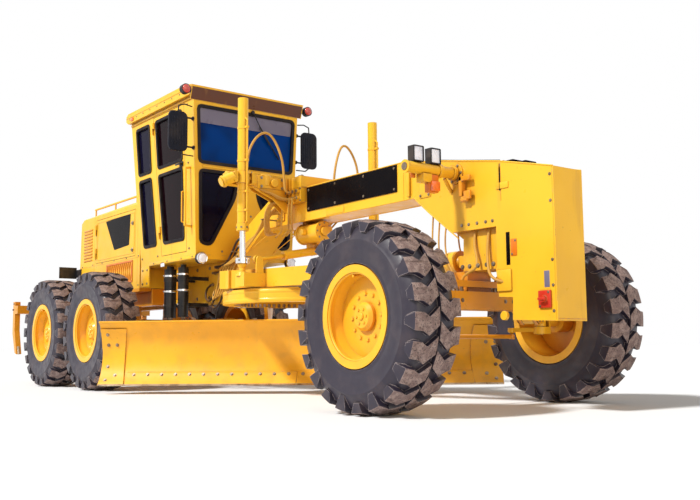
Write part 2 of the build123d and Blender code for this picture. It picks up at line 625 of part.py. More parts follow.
def rear_axle():
    """The axle housing, and at each end of it a tandem case with the spindles of two wheels."""
    collar = round_y(REAR_X, AXLE_Z, -TANDEM_IN, -TANDEM_IN + 60, AXLE_HOUSING_R + 40)
    save("rear_axle", round_y(REAR_X, AXLE_Z, -TANDEM_IN, TANDEM_IN, AXLE_HOUSING_R) + both(collar))
    case = block(REAR_X - TANDEM_SPACING / 2 - 170, REAR_X + TANDEM_SPACING / 2 + 170,
                 -TANDEM_OUT, -TANDEM_IN, TANDEM_BOTTOM, TANDEM_TOP)
    case = fillet(case.edges().filter_by(Axis.Y), 120)
    for side in (-1, 1):
        x = REAR_X + side * TANDEM_SPACING / 2
        case += round_y(x, AXLE_Z, -REAR_TRACK / 2 - HUB_OUT + SIDE_GAP, -TANDEM_OUT + 5, SPINDLE_R)
        case += round_y(x, AXLE_Z, -REAR_TRACK / 2 + HUB_OUT + 8, -TANDEM_OUT + 5, HUB_R + 20)
    save("tandem_cases", Compound(children=[case.solid(), mirrored(case).solid()]))


def front_axle():
    beam = block(FRONT_X - AXLE_HALF_X, FRONT_X + AXLE_HALF_X, -AXLE_HALF_Y, AXLE_HALF_Y,
                 AXLE_BOTTOM, AXLE_TOP)
    beam += block(FRONT_X - 100, FRONT_X + 45, -130, 130, AXLE_TOP, BOLSTER_Z)
    ears = None
    for side in (-1, 1):
        middle = FRONT_X + side * (AXLE_HALF_X - AXLE_EAR / 2)
        ear = cross_plate([(-AXLE_HALF_Y, AXLE_TOP), (-AXLE_HALF_Y, AXLE_BOTTOM),
                           (-LEAN_Y + 10, LEAN_Z - 50), (-LEAN_Y - 45, LEAN_Z - 20),
                           (-LEAN_Y - 45, LEAN_Z + 30), (-LEAN_Y + 10, AXLE_TOP - 60)],
                          middle - AXLE_EAR / 2, middle + AXLE_EAR / 2)
        ears = ear if ears is None else ears + ear
    ears -= round_x(-LEAN_Y, LEAN_Z, FRONT_X - 150, FRONT_X + 150, LEAN_PIN_R + RUNNING)
    save("front_axle", beam + both(ears))


def knuckles():
    """Right side: the lean knuckle turns on the axle, and the steering knuckle on its kingpin."""
    half = AXLE_HALF_X - AXLE_EAR - HITCH_GAP
    lean = round_x(-LEAN_Y, LEAN_Z, FRONT_X - half, FRONT_X + half, 44)
    lean += round_x(-LEAN_Y, LEAN_Z, FRONT_X - AXLE_HALF_X - 12, FRONT_X + AXLE_HALF_X + 12, LEAN_PIN_R)
    lean += round_z(FRONT_X, -KING_Y, KING_LOW, KING_HIGH, 50)
    lean += block(FRONT_X - 45, FRONT_X + 45, -KING_Y + 20, -LEAN_Y, LEAN_Z - 35, LEAN_Z + 60)
    lean += block(FRONT_X + 20, FRONT_X + half, -LEAN_Y - 35, -LEAN_Y + 30, LEAN_Z, LEAN_BAR_Z + 35)
    lean -= round_z(FRONT_X, -KING_Y, KING_LOW - 1, KING_HIGH + 1, KING_R + RUNNING)
    lean += round_x(-LEAN_Y, LEAN_BAR_Z, FRONT_X + half - 5, FRONT_X + half + 45, LEAN_BAR_PIN_R)
    save("lean_knuckle_right", lean)
    save("lean_knuckle_left", mirrored(lean))

    steer = round_z(FRONT_X, -KING_Y, KING_LOW - HITCH_GAP - KING_EAR - 6,
                    KING_HIGH + HITCH_GAP + KING_EAR + 6, KING_R)
    plate = (-KING_Y - 78, -KING_Y - KING_HEAD_R)
    for z0 in (KING_LOW - HITCH_GAP - KING_EAR, KING_HIGH + HITCH_GAP):
        steer += round_z(FRONT_X, -KING_Y, z0, z0 + KING_EAR, KING_HEAD_R)
        steer += block(FRONT_X - 50, FRONT_X + 50, plate[0], -KING_Y, z0, z0 + KING_EAR)
    steer += block(FRONT_X - 50, FRONT_X + 50, *plate, KING_LOW - KING_EAR, KING_HIGH + KING_EAR)
    steer += round_y(FRONT_X, AXLE_Z, -FRONT_TRACK / 2 - HUB_OUT + SIDE_GAP, plate[0] + 5, SPINDLE_R)
    z0 = TIE_Z + TIE_BOSS_TOP + TIE_STUD
    arm = floor_plate([(FRONT_X, -KING_Y - 40), (FRONT_X, -KING_Y + 40), (FRONT_X - TIE_X, -TIE_Y + 30),
                       (FRONT_X - TIE_X - 10, -TIE_Y - 30)], z0, z0 + 35)
    arm += round_z(FRONT_X - TIE_X, -TIE_Y, z0, z0 + 35, 32)
    stud = Cone(*TIE_STUD_R, TIE_STUD + 1 - SEAT_GAP, align=(Align.CENTER, Align.CENTER, Align.MIN))
    arm += Pos(FRONT_X - TIE_X, -TIE_Y, TIE_Z + TIE_BOSS_TOP + SEAT_GAP) * stud
    save("steering_knuckle_right", steer + arm)
    save("steering_knuckle_left", mirrored(steer + arm))

    x0 = FRONT_X + half + SIDE_GAP
    lean_bar = block(x0, x0 + 30, -LEAN_Y, LEAN_Y, LEAN_BAR_Z - 25, LEAN_BAR_Z + 25)
    lean_bar += both(round_x(-LEAN_Y, LEAN_BAR_Z, x0, x0 + 30, 34))
    lean_bar -= both(round_x(-LEAN_Y, LEAN_BAR_Z, x0 - 1, x0 + 31, LEAN_BAR_PIN_R + RUNNING))
    save("lean_bar", lean_bar)
    tie = round_y(FRONT_X - TIE_X, TIE_Z, -TIE_Y, TIE_Y, 18)
    tie += both(round_z(FRONT_X - TIE_X, -TIE_Y, TIE_Z - 22, TIE_Z + TIE_BOSS_TOP, 24))
    save("tie_rod", tie)


def drawbar():
    outline = [(BALL_X - 90, -62), (DRAWBAR_REAR_X + 480, -600), (DRAWBAR_REAR_X, -LIFT_Y - 30),
               (DRAWBAR_REAR_X, -LIFT_Y + 150), (DRAWBAR_REAR_X + 400, -430), (BALL_X - 480, -58),
               (BALL_X - 480, 0), (BALL_X - 90, 0)]
    half = floor_plate(outline, DRAWBAR_BOTTOM, DRAWBAR_TOP)
    half += block(DRAWBAR_REAR_X, DRAWBAR_REAR_X + 120, -LIFT_Y, 0, DRAWBAR_BOTTOM, DRAWBAR_TOP)
    half += block(DRAWBAR_REAR_X + 700, DRAWBAR_REAR_X + 820, -470, 0, DRAWBAR_BOTTOM, DRAWBAR_BOTTOM + 60)
    half += block(LIFT_X - 60, LIFT_X + 100, -LIFT_Y - 40, -560, DRAWBAR_BOTTOM, DRAWBAR_BOTTOM + 130)
    body = both(half)
    for x, y in SHOE_PLACES:
        body += both(circle_shoe(x, -y))
    socket = round_x(0, BALL_Z, BALL_X - 100, BALL_X + 30, BALL_R + 34)
    socket &= block(BALL_X - 200, BALL_X + 20, -110, 110, DRAWBAR_BOTTOM - 20, DRAWBAR_TOP + 30)
    body += socket
    body -= Pos(BALL_X, 0, BALL_Z) * Sphere(BALL_R + SEAT_GAP)
    body += both(Pos(LIFT_X, -LIFT_Y, LIFT_BALL_Z) * Sphere(LIFT_BALL_R)
                 + round_z(LIFT_X, -LIFT_Y, DRAWBAR_BOTTOM + 100, LIFT_BALL_Z, 30))
    x = CENTRE_X + CENTRE_EYE_HALF + CENTRE_EAR_GAP
    y, z = CENTRE_EAR
    ear = cross_plate([(y - 40, DRAWBAR_BOTTOM + 125), (y + 40, DRAWBAR_BOTTOM + 125), (y + 34, z),
                       (y - 34, z)], x, x + 22)
    ear += round_x(y, z, x, x + 22, 34)
    body += ear + round_x(y, z, CENTRE_X - CENTRE_EYE_HALF, x + 2, CENTRE_PIN_R)
    save("drawbar", body)


def circle_shoe(x, y):
    """A guide on the drawbar that rests on the circle and hooks under the lip inside it."""
    turn = degrees(atan2(y, x - CIRCLE_X))
    top = DRAWBAR_BOTTOM + 5
    lip = CIRCLE_R - CIRCLE_RING - CIRCLE_LIP
    shoe = block(lip - 60, lip + 110, -55, 55, CIRCLE_TOP + SEAT_GAP, top)
    shoe += block(lip - 60, lip - 8, -55, 55, CIRCLE_LIP_Z - 40, top)
    shoe += block(lip - 60, lip + CIRCLE_LIP - 8, -55, 55, CIRCLE_LIP_Z - 40, CIRCLE_LIP_Z - 5)
    return Pos(CIRCLE_X, 0, 0) * Rot(0, 0, turn) * shoe


def circle():
    inside = CIRCLE_R - CIRCLE_RING
    ring = turned_flat([(inside, CIRCLE_BOTTOM), (CIRCLE_R, CIRCLE_BOTTOM), (CIRCLE_R, CIRCLE_TOP),
                        (inside - CIRCLE_LIP, CIRCLE_TOP), (inside - CIRCLE_LIP, CIRCLE_LIP_Z),
                        (inside, CIRCLE_LIP_Z)])
    ring = Pos(CIRCLE_X, 0, 0) * ring
    low, back, z = CIRCLE_BOTTOM + 5, PIVOT_BACK, PIVOT_Z
    arms = None
    for side in (-1, 1):
        x = CIRCLE_ALONG + side * ARM_SPREAD
        arm = cross_plate([(170, low), (480, low), (330, 560), (back + 48, z), (back - 10, z + 20),
                           (205, 400), (225, 640), (215, 800)], x - ARM_THICK / 2, x + ARM_THICK / 2)
        arm += round_x(back, z, x - ARM_THICK / 2, x + ARM_THICK / 2, 50)
        arms = arm if arms is None else arms + arm
    arms -= round_x(back, z, CIRCLE_ALONG - 1000, CIRCLE_ALONG + 1000, PIVOT_R + RUNNING)
    save("circle", ring + at_blade(arms))


def turned_flat(profile):
    """Turns a closed outline of (radius, z) points about the Z axis."""
    return revolve(make_face(Polyline(*[(r, 0, z) for r, z in profile], close=True)), axis=Axis.Z)


def at_blade(shape):
    """Turns a shape from the blade's own axes, along, back and up, to its place on the machine."""
    return Pos(BLADE_MID[0], BLADE_MID[1], 0) * Rot(0, 0, BLADE_ANGLE) * shape


# Where the middle of the circle stands, along the blade
CIRCLE_ALONG = ((CIRCLE_X - BLADE_MID[0]) * cos(radians(BLADE_ANGLE))
                - BLADE_MID[1] * sin(radians(BLADE_ANGLE)))


def blade_section(back):
    """The curved face of the blade, moved back, as an arc of three points."""
    middle = (BLADE_BOTTOM + BLADE_TOP) / 2
    return (back, BLADE_BOTTOM), (BLADE_BULGE + back, middle), (back + 10, BLADE_TOP)


def blade():
    half = BLADE_LENGTH / 2
    front, rear = blade_section(0), blade_section(BLADE_THICK)
    front = [(-half, y, z) for y, z in front]
    rear = [(-half, y, z) for y, z in rear]
    outline = [ThreePointArc(*front), Line(front[2], rear[2]), ThreePointArc(rear[2], rear[1], rear[0]),
               Line(rear[0], front[0])]
    board = extrude(make_face(outline), amount=BLADE_LENGTH, dir=(1, 0, 0))
    for z, start in zip(RAIL_Z, RAIL_START):
        board += block(-half + 500, half - 500, start, RAIL_BACK, z - RAIL_TALL / 2, z + RAIL_TALL / 2)
    lug = CIRCLE_ALONG + SHIFT_ROD[1]
    board += block(lug - 20, lug + 20, 84, SHIFT_BACK + 24, SHIFT_Z - 24, SHIFT_Z + 24)
    board -= round_x(SHIFT_BACK, SHIFT_Z, lug - 30, lug + 30, SHIFT_ROD_R + SEAT_GAP)
    save("blade", at_blade(board))
    rod = round_x(SHIFT_BACK, SHIFT_Z, CIRCLE_ALONG + SHIFT_ROD[0], lug + 22, SHIFT_ROD_R)
    rod += round_x(SHIFT_BACK, SHIFT_Z, lug + 20, lug + 34, SHIFT_ROD_R + 8)
    rod += round_x(SHIFT_BACK, SHIFT_Z, lug - 30, lug - 20, SHIFT_ROD_R + 6)
    save("blade_shift_rod", at_blade(rod))


def blade_brackets():
    """Two brackets that hold the blade's rails, tip on the circle's arms and hold the shift barrel."""
    pair = None
    for side in (-1, 1):
        x = CIRCLE_ALONG + side * (ARM_SPREAD - ARM_THICK / 2 - SIDE_GAP)
        x0, x1 = (x, x + BRACKET_THICK) if side < 0 else (x - BRACKET_THICK, x)
        plate = block(x0, x1, RAIL_BACK + SEAT_GAP, BRACKET_BACK, PIVOT_Z - 50, RAIL_Z[1] + 60)
        for z, lip in zip(RAIL_Z, RAIL_LIP):
            for edge in (-1, 1):
                ends = sorted((z + edge * (RAIL_TALL / 2 + SEAT_GAP), z + edge * (RAIL_TALL / 2 + 23)))
                plate += block(x0, x1, RAIL_BACK - lip, RAIL_BACK + 10, *ends)
        plate += block(x0, x1, 140, 200, RAIL_Z[1] + 48, SHIFT_Z + 30)
        plate += block(x0, x1, SHIFT_BACK - 5, 150, SHIFT_Z - 22, SHIFT_Z + 30)
        out = ARM_THICK + 12
        pin = (x0 - out, x0 + 5) if side < 0 else (x1 - 5, x1 + out)
        plate += round_x(PIVOT_BACK, PIVOT_Z, *pin, PIVOT_R)
        pair = plate if pair is None else pair + plate
    inside = ARM_SPREAD - ARM_THICK / 2 - BRACKET_THICK
    pair += block(CIRCLE_ALONG - inside - 5, CIRCLE_ALONG + inside + 5, 205, BRACKET_BACK, 440, 520)
    start, end = [CIRCLE_ALONG + along for along in SHIFT_BARREL]
    pair += round_x(SHIFT_BACK, SHIFT_Z, start, end, SHIFT_BARREL_R)
    pair -= round_x(SHIFT_BACK, SHIFT_Z, start + 40, end + 30, SHIFT_ROD_R + SEAT_GAP)
    save("blade_brackets", at_blade(pair))


def lift_cylinders():
    barrel = round_z(LIFT_X, -LIFT_Y, LIFT_GLAND, LIFT_TOP, LIFT_BARREL_R)
    barrel += round_z(LIFT_X, -LIFT_Y, LIFT_GLAND, LIFT_GLAND + 70, LIFT_BARREL_R + 8)
    barrel += round_z(LIFT_X, -LIFT_Y, YOKE_Z - 55, YOKE_Z + 55, LIFT_BARREL_R + 14)
    barrel += round_y(LIFT_X, YOKE_Z, -LIFT_Y - 112, -LIFT_Y + 112, YOKE_PIN_R)
    barrel -= round_z(LIFT_X, -LIFT_Y, LIFT_GLAND - 1, LIFT_TOP - 40, LIFT_ROD_R + SEAT_GAP)
    save("lift_barrel_right", barrel)
    save("lift_barrel_left", mirrored(barrel))
    socket = LIFT_BALL_R + LIFT_BALL_GAP
    rod = round_z(LIFT_X, -LIFT_Y, LIFT_BALL_Z + socket + 3, LIFT_GLAND + 420, LIFT_ROD_R)
    cap = round_z(LIFT_X, -LIFT_Y, LIFT_BALL_Z + 8, LIFT_BALL_Z + socket + 6, socket + 12)
    rod += cap - Pos(LIFT_X, -LIFT_Y, LIFT_BALL_Z) * Sphere(socket)
    save("lift_rod_right", rod)
    save("lift_rod_left", mirrored(rod))


def shift_cylinder():
    """The cylinder across the machine from the hanger to the drawbar's ear, barrel and rod."""
    start, end = Vector(CENTRE_X, *CENTRE_HANGER), Vector(CENTRE_X, *CENTRE_EAR)
    unit = (end - start).normalized()
    body = bar(start + unit * 20, start + unit * 70, 18) + bar(start + unit * 60, start + unit * 430, CENTRE_R)
    body += bar(start + unit * 400, start + unit * 430, CENTRE_R + 5) + bar(start + unit * 420, end, 20)
    half = CENTRE_EYE_HALF
    eyes = ((*CENTRE_HANGER, CENTRE_PIN_R + RUNNING), (*CENTRE_EAR, CENTRE_PIN_R + CENTRE_EYE_GAP))
    for y, z, bore in eyes:
        body += round_x(y, z, CENTRE_X - half, CENTRE_X + half, max(bore + 14, 38))
    for y, z, bore in eyes:
        body -= round_x(y, z, CENTRE_X - half - 1, CENTRE_X + half + 1, bore)
    save("shift_cylinder", body)


def ripper():
    arm = side_plate([(RIPPER_PIVOT_X + 50, RIPPER_PIVOT_Z - 50), (RIPPER_PIVOT_X + 50, RIPPER_PIVOT_Z + 50),
                      (RIPPER_BEAM_X, 1120), (RIPPER_BEAM_X, 1000)], -300, -240)
    beam = both(arm) + block(RIPPER_BEAM_X - 60, RIPPER_BEAM_X + 60, -RIPPER_HALF, RIPPER_HALF, 1000, 1120)
    for place in (-1, -0.5, 0, 0.5, 1):
        y = place * (RIPPER_HALF - SHANK_WIDTH / 2)
        beam += side_plate([(RIPPER_BEAM_X - 150, 1180), (RIPPER_BEAM_X - 55, 1180), (RIPPER_BEAM_X - 55, 760),
                            (RIPPER_BEAM_X + 60, RIPPER_TIP_Z), (RIPPER_BEAM_X - 20, RIPPER_TIP_Z + 20),
                            (RIPPER_BEAM_X - 150, 720)], y - SHANK_WIDTH / 2, y + SHANK_WIDTH / 2)
    beam -= both(round_y(RIPPER_PIVOT_X, RIPPER_PIVOT_Z, -310, -230, 30 + RUNNING))
    x, z = RIPPER_ROD_PIN
    face = RIPPER_BEAM_X + 60
    ear = side_plate([(face - 80, 1115), (face, 1115), (face, 1050), (x + 20, z - 30), (x, z + 38),
                      (x - 30, z + 25)], -RIPPER_EAR_GAP - 25, -RIPPER_EAR_GAP)
    ear += round_y(x, z, -RIPPER_EAR_GAP - 25, -RIPPER_EAR_GAP, 38)
    beam += both(ear) + round_y(x, z, -RIPPER_EAR_GAP - 30, RIPPER_EAR_GAP + 30, RIPPER_PIN_R)
    save("ripper", beam)

    (x0, z0), (x1, z1) = RIPPER_BARREL_PIN, RIPPER_ROD_PIN
    start, end = Vector(x0, 0, z0), Vector(x1, 0, z1)
    unit = (end - start).normalized()
    half = RIPPER_EAR_GAP - 2
    barrel = round_y(x0, z0, -half, half, 38) + bar(start + unit * 20, start + unit * 62, 26)
    barrel += bar(start + unit * 60, start + unit * 400, 45)
    barrel -= bar(start + unit * 155, start + unit * 401, 22 + SEAT_GAP)
    barrel -= round_y(x0, z0, -half - 1, half + 1, RIPPER_PIN_R + RUNNING)
    save("ripper_barrel", barrel)
    bore = RIPPER_PIN_R + RIPPER_EYE_GAP
    rod = bar(start + unit * 160, end - unit * bore, 22) + round_y(x1, z1, -half, half, bore + 12)
    rod -= round_y(x1, z1, -half - 1, half + 1, bore)
    save("ripper_rod", rod)


def lamps_and_mirrors():
    arm = round_y(2930, 1840, -690, -FRAME_HALF, 45) + round_y(2930, 1840, -700, -690, 52)
    arm += block(2890, 2970, -545, -455, 1735, 1800)
    save("lamp_arm", Compound(children=[arm.solid(), mirrored(arm).solid()]))

    lamps = []
    for y in (-582, -404):
        lamp = block(2895, 2960, y - 52, y + 52, 1887, 2010) + block(2915, 2940, y - 15, y + 15, 1885.1, 1890)
        lamps.append(lamp - block(2955, 2961, y - 46, y + 46, 1893, 2004))
    x, y, z = CAB_FRONT_HIGH + 26, CAB_HALF_HIGH + 48, CAB_EAVE + 34
    corner = round_x(-y - 69, z, x - 30, x + 30, 55) + block(x - 20, x + 10, -y - 32, -y, z - 14, z + 16)
    lamps.append(corner)
    low = round_x(-572, 1440, CAB_FRONT_LOW + 2, CAB_FRONT_LOW + 60, 60)
    low += block(CAB_FRONT_LOW, CAB_FRONT_LOW + 10, -585, -559, 1450, 1480)
    lamps.append(low)
    save("work_lamps", Compound(children=[piece for lamp in lamps
                                          for piece in (lamp.solid(), mirrored(lamp).solid())]))

    glass = block(-575, -545, -970, -740, WAIST + 70, WINDOW_HEAD - 100)
    for z in (WAIST + 130, WINDOW_HEAD - 160):
        skin = CAB_HALF_LOW + (z - CAB_FLOOR) / (CAB_EAVE - CAB_FLOOR) * (CAB_HALF_HIGH - CAB_HALF_LOW)
        glass += round_y(-560, z, -750, -skin - 0.5, 12)
    save("mirrors", Compound(children=[glass.solid(), mirrored(glass).solid()]))


def accumulators():
    """Two pressure bottles that stand at the frame's right side below the cab."""
    bottles = []
    for x, radius in ((-1480, 70), (-1150, 60)):
        bottle = round_z(x, -470, 830, 1390, radius) + round_z(x, -470, 1390, 1425, radius - 28)
        for z in (950, 1250):
            bottle += block(x - 20, x + 20, -470, -FRAME_HALF, z, z + 40)
            bottle += round_z(x, -470, z, z + 40, radius + 6)
        bottles.append(bottle.solid())
    save("accumulators", Compound(children=bottles))


def hose(route, radius):
    """A round hose along straight runs, joined by arcs as large as the runs allow."""
    points = [Vector(*point) for point in route]
    radii = []
    for before, corner, after in zip(points, points[1:], points[2:]):
        turn = radians((corner - before).get_angle(after - corner))
        radii.append(0.45 * min((corner - before).length, (after - corner).length) / tan(turn / 2))
    path = FilletPolyline(*points, radius=radii)
    tube = sweep(Plane(origin=path @ 0, z_dir=path % 0) * Circle(radius), path=path)
    print("hose of", round(path.length), "mm, tightest bend", round(min(radii)),
          "mm, volume to section times length", round(tube.volume / (pi * radius ** 2 * path.length), 4))
    return tube


# Hoses on the frame's right side below the cab
BEAM_HOSES = [
    [(-900, -FRAME_HALF, 1385), (-900, -245, 1385), (-600, -248, 1378), (-455, -244, 1500),
     (-350, -238, 1650), (-330, -FRAME_HALF, 1690)],
    [(-960, -FRAME_HALF, 1325), (-960, -212, 1325), (-700, -214, 1320), (-500, -208, 1420),
     (-420, -204, 1560), (-400, -FRAME_HALF, 1600)],
    [(-700, -FRAME_HALF, 1230), (-700, -240, 1225), (-730, -290, 1080), (-850, -305, 980), (-970, -290, 1060),
     (-1010, -235, 1180), (-1010, -FRAME_HALF, 1200)],
    [(-640, -FRAME_HALF, 1130), (-640, -225, 1120), (-670, -260, 980), (-800, -265, 900),
     (-920, -240, 980), (-940, -FRAME_HALF, 1060)],
]


def yoke_hose():
    """Over the yoke's right arm from its top to the valve block's upper port."""
    x, z = PORTS_X[1], PORTS_Z[1]
    return [(600, -690, YOKE_Z + 60), (600, -690, 2340), (606, -610, 2520), (622, -500, 2606),
            (645, -410, 2550), (x - 4, -325, 2340), (x - 8, -305, 2130), (x, -300, z), (x, PORT_Y, z)]


def nose_hoses():
    """In the nose's right recess: down to the axle's top, and forward into the nose's side."""
    top, y = NOSE_RECESS[2], RECESS_DEPTH / 2 - FRAME_HALF
    to_axle = [(3085, y, top), (3085, y, 1270), (3130, y - 10, 1150), (3140, y - 30, 1075),
               (3060, y - 48, 1040), (2990, y - 50, 1000), (2990, y - 50, AXLE_TOP)]
    to_nose = [(3230, y, top), (3230, y, 1250), (3240, y - 15, 1120), (3290, y - 55, 1010),
               (3385, y - 63, 955), (3420, -FRAME_HALF, 950)]
    return to_axle, to_nose


def thin_hoses():
    """From the gooseneck's underside, past the drawbar's ball, down to the axle's top."""
    return [[(x, -140, 1600), (x - 10, -146, 1385), (x + 5, -162, 1230), (x + 80, -185, 1090),
             (end, -190, 985), (end, -190, AXLE_TOP)] for x, end in ((2640, 2885), (2715, 2918), (2790, 2951))]


def hoses(frame):
    """Every hose is held at both ends by the front frame and what is fixed to it."""
    to_axle, to_nose = nose_hoses()
    tubes = [hose(route, HOSE_R) for route in BEAM_HOSES]
    for tube in ([hose(yoke_hose(), HOSE_R), hose(to_axle, NOSE_HOSE_R), hose(to_nose, NOSE_HOSE_R)]
                 + [hose(route, THIN_HOSE_R) for route in thin_hoses()]):
        tubes += [tube, mirrored(tube)]
    save("hoses", Compound(children=[(tube - frame).solid() for tube in tubes]))


wheels()
the_frame = front_frame()
boom_panels()
lift_saddle()
cab()
cab_inside()
hood()
engine()
rear_frame()
rear_axle()
front_axle()
knuckles()
drawbar()
circle()
blade()
blade_brackets()
lift_cylinders()
shift_cylinder()
ripper()
lamps_and_mirrors()
accumulators()
hoses(the_frame)
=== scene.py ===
import json
from itertools import product
from math import cos, pi, radians, sin, sqrt

import bmesh
import bpy
from mathutils import Matrix, Vector


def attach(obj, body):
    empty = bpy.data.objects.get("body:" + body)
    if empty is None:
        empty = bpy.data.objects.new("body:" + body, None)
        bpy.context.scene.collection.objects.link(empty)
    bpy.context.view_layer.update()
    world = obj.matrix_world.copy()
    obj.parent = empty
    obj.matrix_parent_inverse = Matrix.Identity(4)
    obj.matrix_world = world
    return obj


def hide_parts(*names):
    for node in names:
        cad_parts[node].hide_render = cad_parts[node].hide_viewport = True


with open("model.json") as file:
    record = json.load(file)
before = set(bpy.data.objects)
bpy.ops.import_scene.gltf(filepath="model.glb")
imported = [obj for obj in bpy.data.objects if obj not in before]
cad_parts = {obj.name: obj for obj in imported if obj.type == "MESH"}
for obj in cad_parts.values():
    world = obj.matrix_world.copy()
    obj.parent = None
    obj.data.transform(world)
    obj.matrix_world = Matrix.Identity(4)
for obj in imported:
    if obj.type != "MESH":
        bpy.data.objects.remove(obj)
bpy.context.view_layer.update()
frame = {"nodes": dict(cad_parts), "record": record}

# Motor grader. Lengths are metres, and at() takes millimetres from the machine's own middle plane
# and the middle of its wheelbase: x forward, y to the left, z up from the ground.
scene = bpy.context.scene
MID_X, MID_Y = 0.8, -0.182
RIGHT, LEFT = -1, 1
BOTH = (RIGHT, LEFT)
# A shape made once, where it is written, counts as one on the left
ONCE = LEFT
SIDES = {RIGHT: "right", LEFT: "left"}
FRONT, REAR = "front_body", "rear_body"
AHEAD, BACK, OUT, IN, UP = (1, 0, 0), (-1, 0, 0), (0, 1, 0), (0, -1, 0), (0, 0, 1)


def at(x, y, z):
    return Vector((x / 1000 + MID_X, y / 1000 + MID_Y, z / 1000))


def feed(tree, socket, value):
    """Links an output to a socket, or sets the socket to a number or a colour."""
    if isinstance(value, bpy.types.NodeSocket):
        tree.links.new(value, socket)
    else:
        socket.default_value = value


def add_node(tree, kind, *values, **named):
    """A shader node whose inputs are fed in their order, or by name with _ for a space."""
    node = tree.nodes.new("ShaderNode" + kind)
    for socket, value in zip(node.inputs, values):
        feed(tree, socket, value)
    for name, value in named.items():
        feed(tree, node.inputs[name.replace("_", " ")], value)
    return node


class Paint:
    """A principled shader and the nodes that feed it, read in the object's own coordinates."""

    def __init__(self, name, color, roughness, metallic=0.0):
        self.material = bpy.data.materials.new(name)
        self.material.use_nodes = True
        self.tree = self.material.node_tree
        self.shader = self.tree.nodes["Principled BSDF"]
        self.where = self.node("TexCoord").outputs["Object"]
        self.color, self.height = self.node("RGB").outputs[0], None
        self.color.default_value = (*color, 1)
        self.set(Metallic=metallic, Roughness=roughness)

    def node(self, kind, *values, **named):
        return add_node(self.tree, kind, *values, **named)

    def set(self, **sockets):
        for name, value in sockets.items():
            feed(self.tree, self.shader.inputs[name.replace("_", " ")], value)

    def span(self, value, low, high, to_low=0.0, to_high=1.0):
        node = self.node("MapRange", Value=value, From_Min=low, From_Max=high, To_Min=to_low, To_Max=to_high)
        node.interpolation_type = "SMOOTHSTEP"
        return node.outputs["Result"]

    def noise(self, scale, detail, low=0.0, high=1.0, stretch=(1, 1, 1)):
        """Noise between 0 and 1, with everything under low and over high cut off."""
        place = self.node("Mapping", Scale=stretch, Vector=self.where)
        node = self.node("TexNoise", Scale=scale, Detail=detail, Vector=place.outputs[0])
        return self.span(node.outputs["Fac"], low, high)

    def cells(self, scale, low, high):
        """Small round spots: 1 in their middles and 0 between them."""
        node = self.node("TexVoronoi", Scale=scale, Vector=self.where)
        return self.span(node.outputs["Distance"], high, low)

    def waves(self, scale, direction):
        node = self.node("TexWave", Scale=scale, Vector=self.where)
        node.bands_direction = direction
        return node.outputs["Fac"]

    def axis(self, vector, letter):
        return self.node("SeparateXYZ", vector).outputs[letter]

    def normal(self):
        return self.node("NewGeometry").outputs["Normal"]

    def facing_up(self, low, high):
        return self.span(self.axis(self.normal(), "Z"), low, high)

    def above(self, low, high):
        """How high a point lies on the machine, between two heights."""
        return self.span(self.axis(self.where, "Z"), low, high)

    def corners(self, distance, low, high):
        """1 deep in a corner or a gap, and 0 in the open."""
        node = self.node("AmbientOcclusion", Distance=distance)
        node.samples = 6
        return self.span(node.outputs["AO"], high, low)

    def edges(self, radius, low, high):
        """1 along a sharp edge, and 0 on the flat."""
        rounded = self.node("Bevel", Radius=radius)
        rounded.samples = 4
        compare = self.node("VectorMath", rounded.outputs[0], self.normal())
        compare.operation = "DOT_PRODUCT"
        return self.span(compare.outputs["Value"], high, low)

    def over(self, color, *amounts):
        """Lays a colour over what is there, by the product of the amounts."""
        amount = amounts[0]
        for factor in amounts[1:]:
            node = self.node("Math", amount, factor)
            node.operation = "MULTIPLY"
            amount = node.outputs[0]
        node = self.node("Mix")
        node.data_type = "RGBA"
        for socket, value in ((0, amount), (6, self.color), (7, (*color, 1))):
            feed(self.tree, node.inputs[socket], value)
        self.color = node.outputs[2]

    def rough(self, value, low, high):
        """Roughness that follows a value between two ends."""
        self.set(Roughness=self.span(value, 0, 1, low, high))

    def relief(self, value, strength, distance):
        node = self.node("Bump", Strength=strength, Distance=distance, Height=value)
        if self.height is not None:
            feed(self.tree, node.inputs["Normal"], self.height)
        self.height = node.outputs[0]

    def done(self, slot=None):
        self.set(Base_Color=self.color)
        if self.height is not None:
            self.set(Normal=self.height)
        return self.material


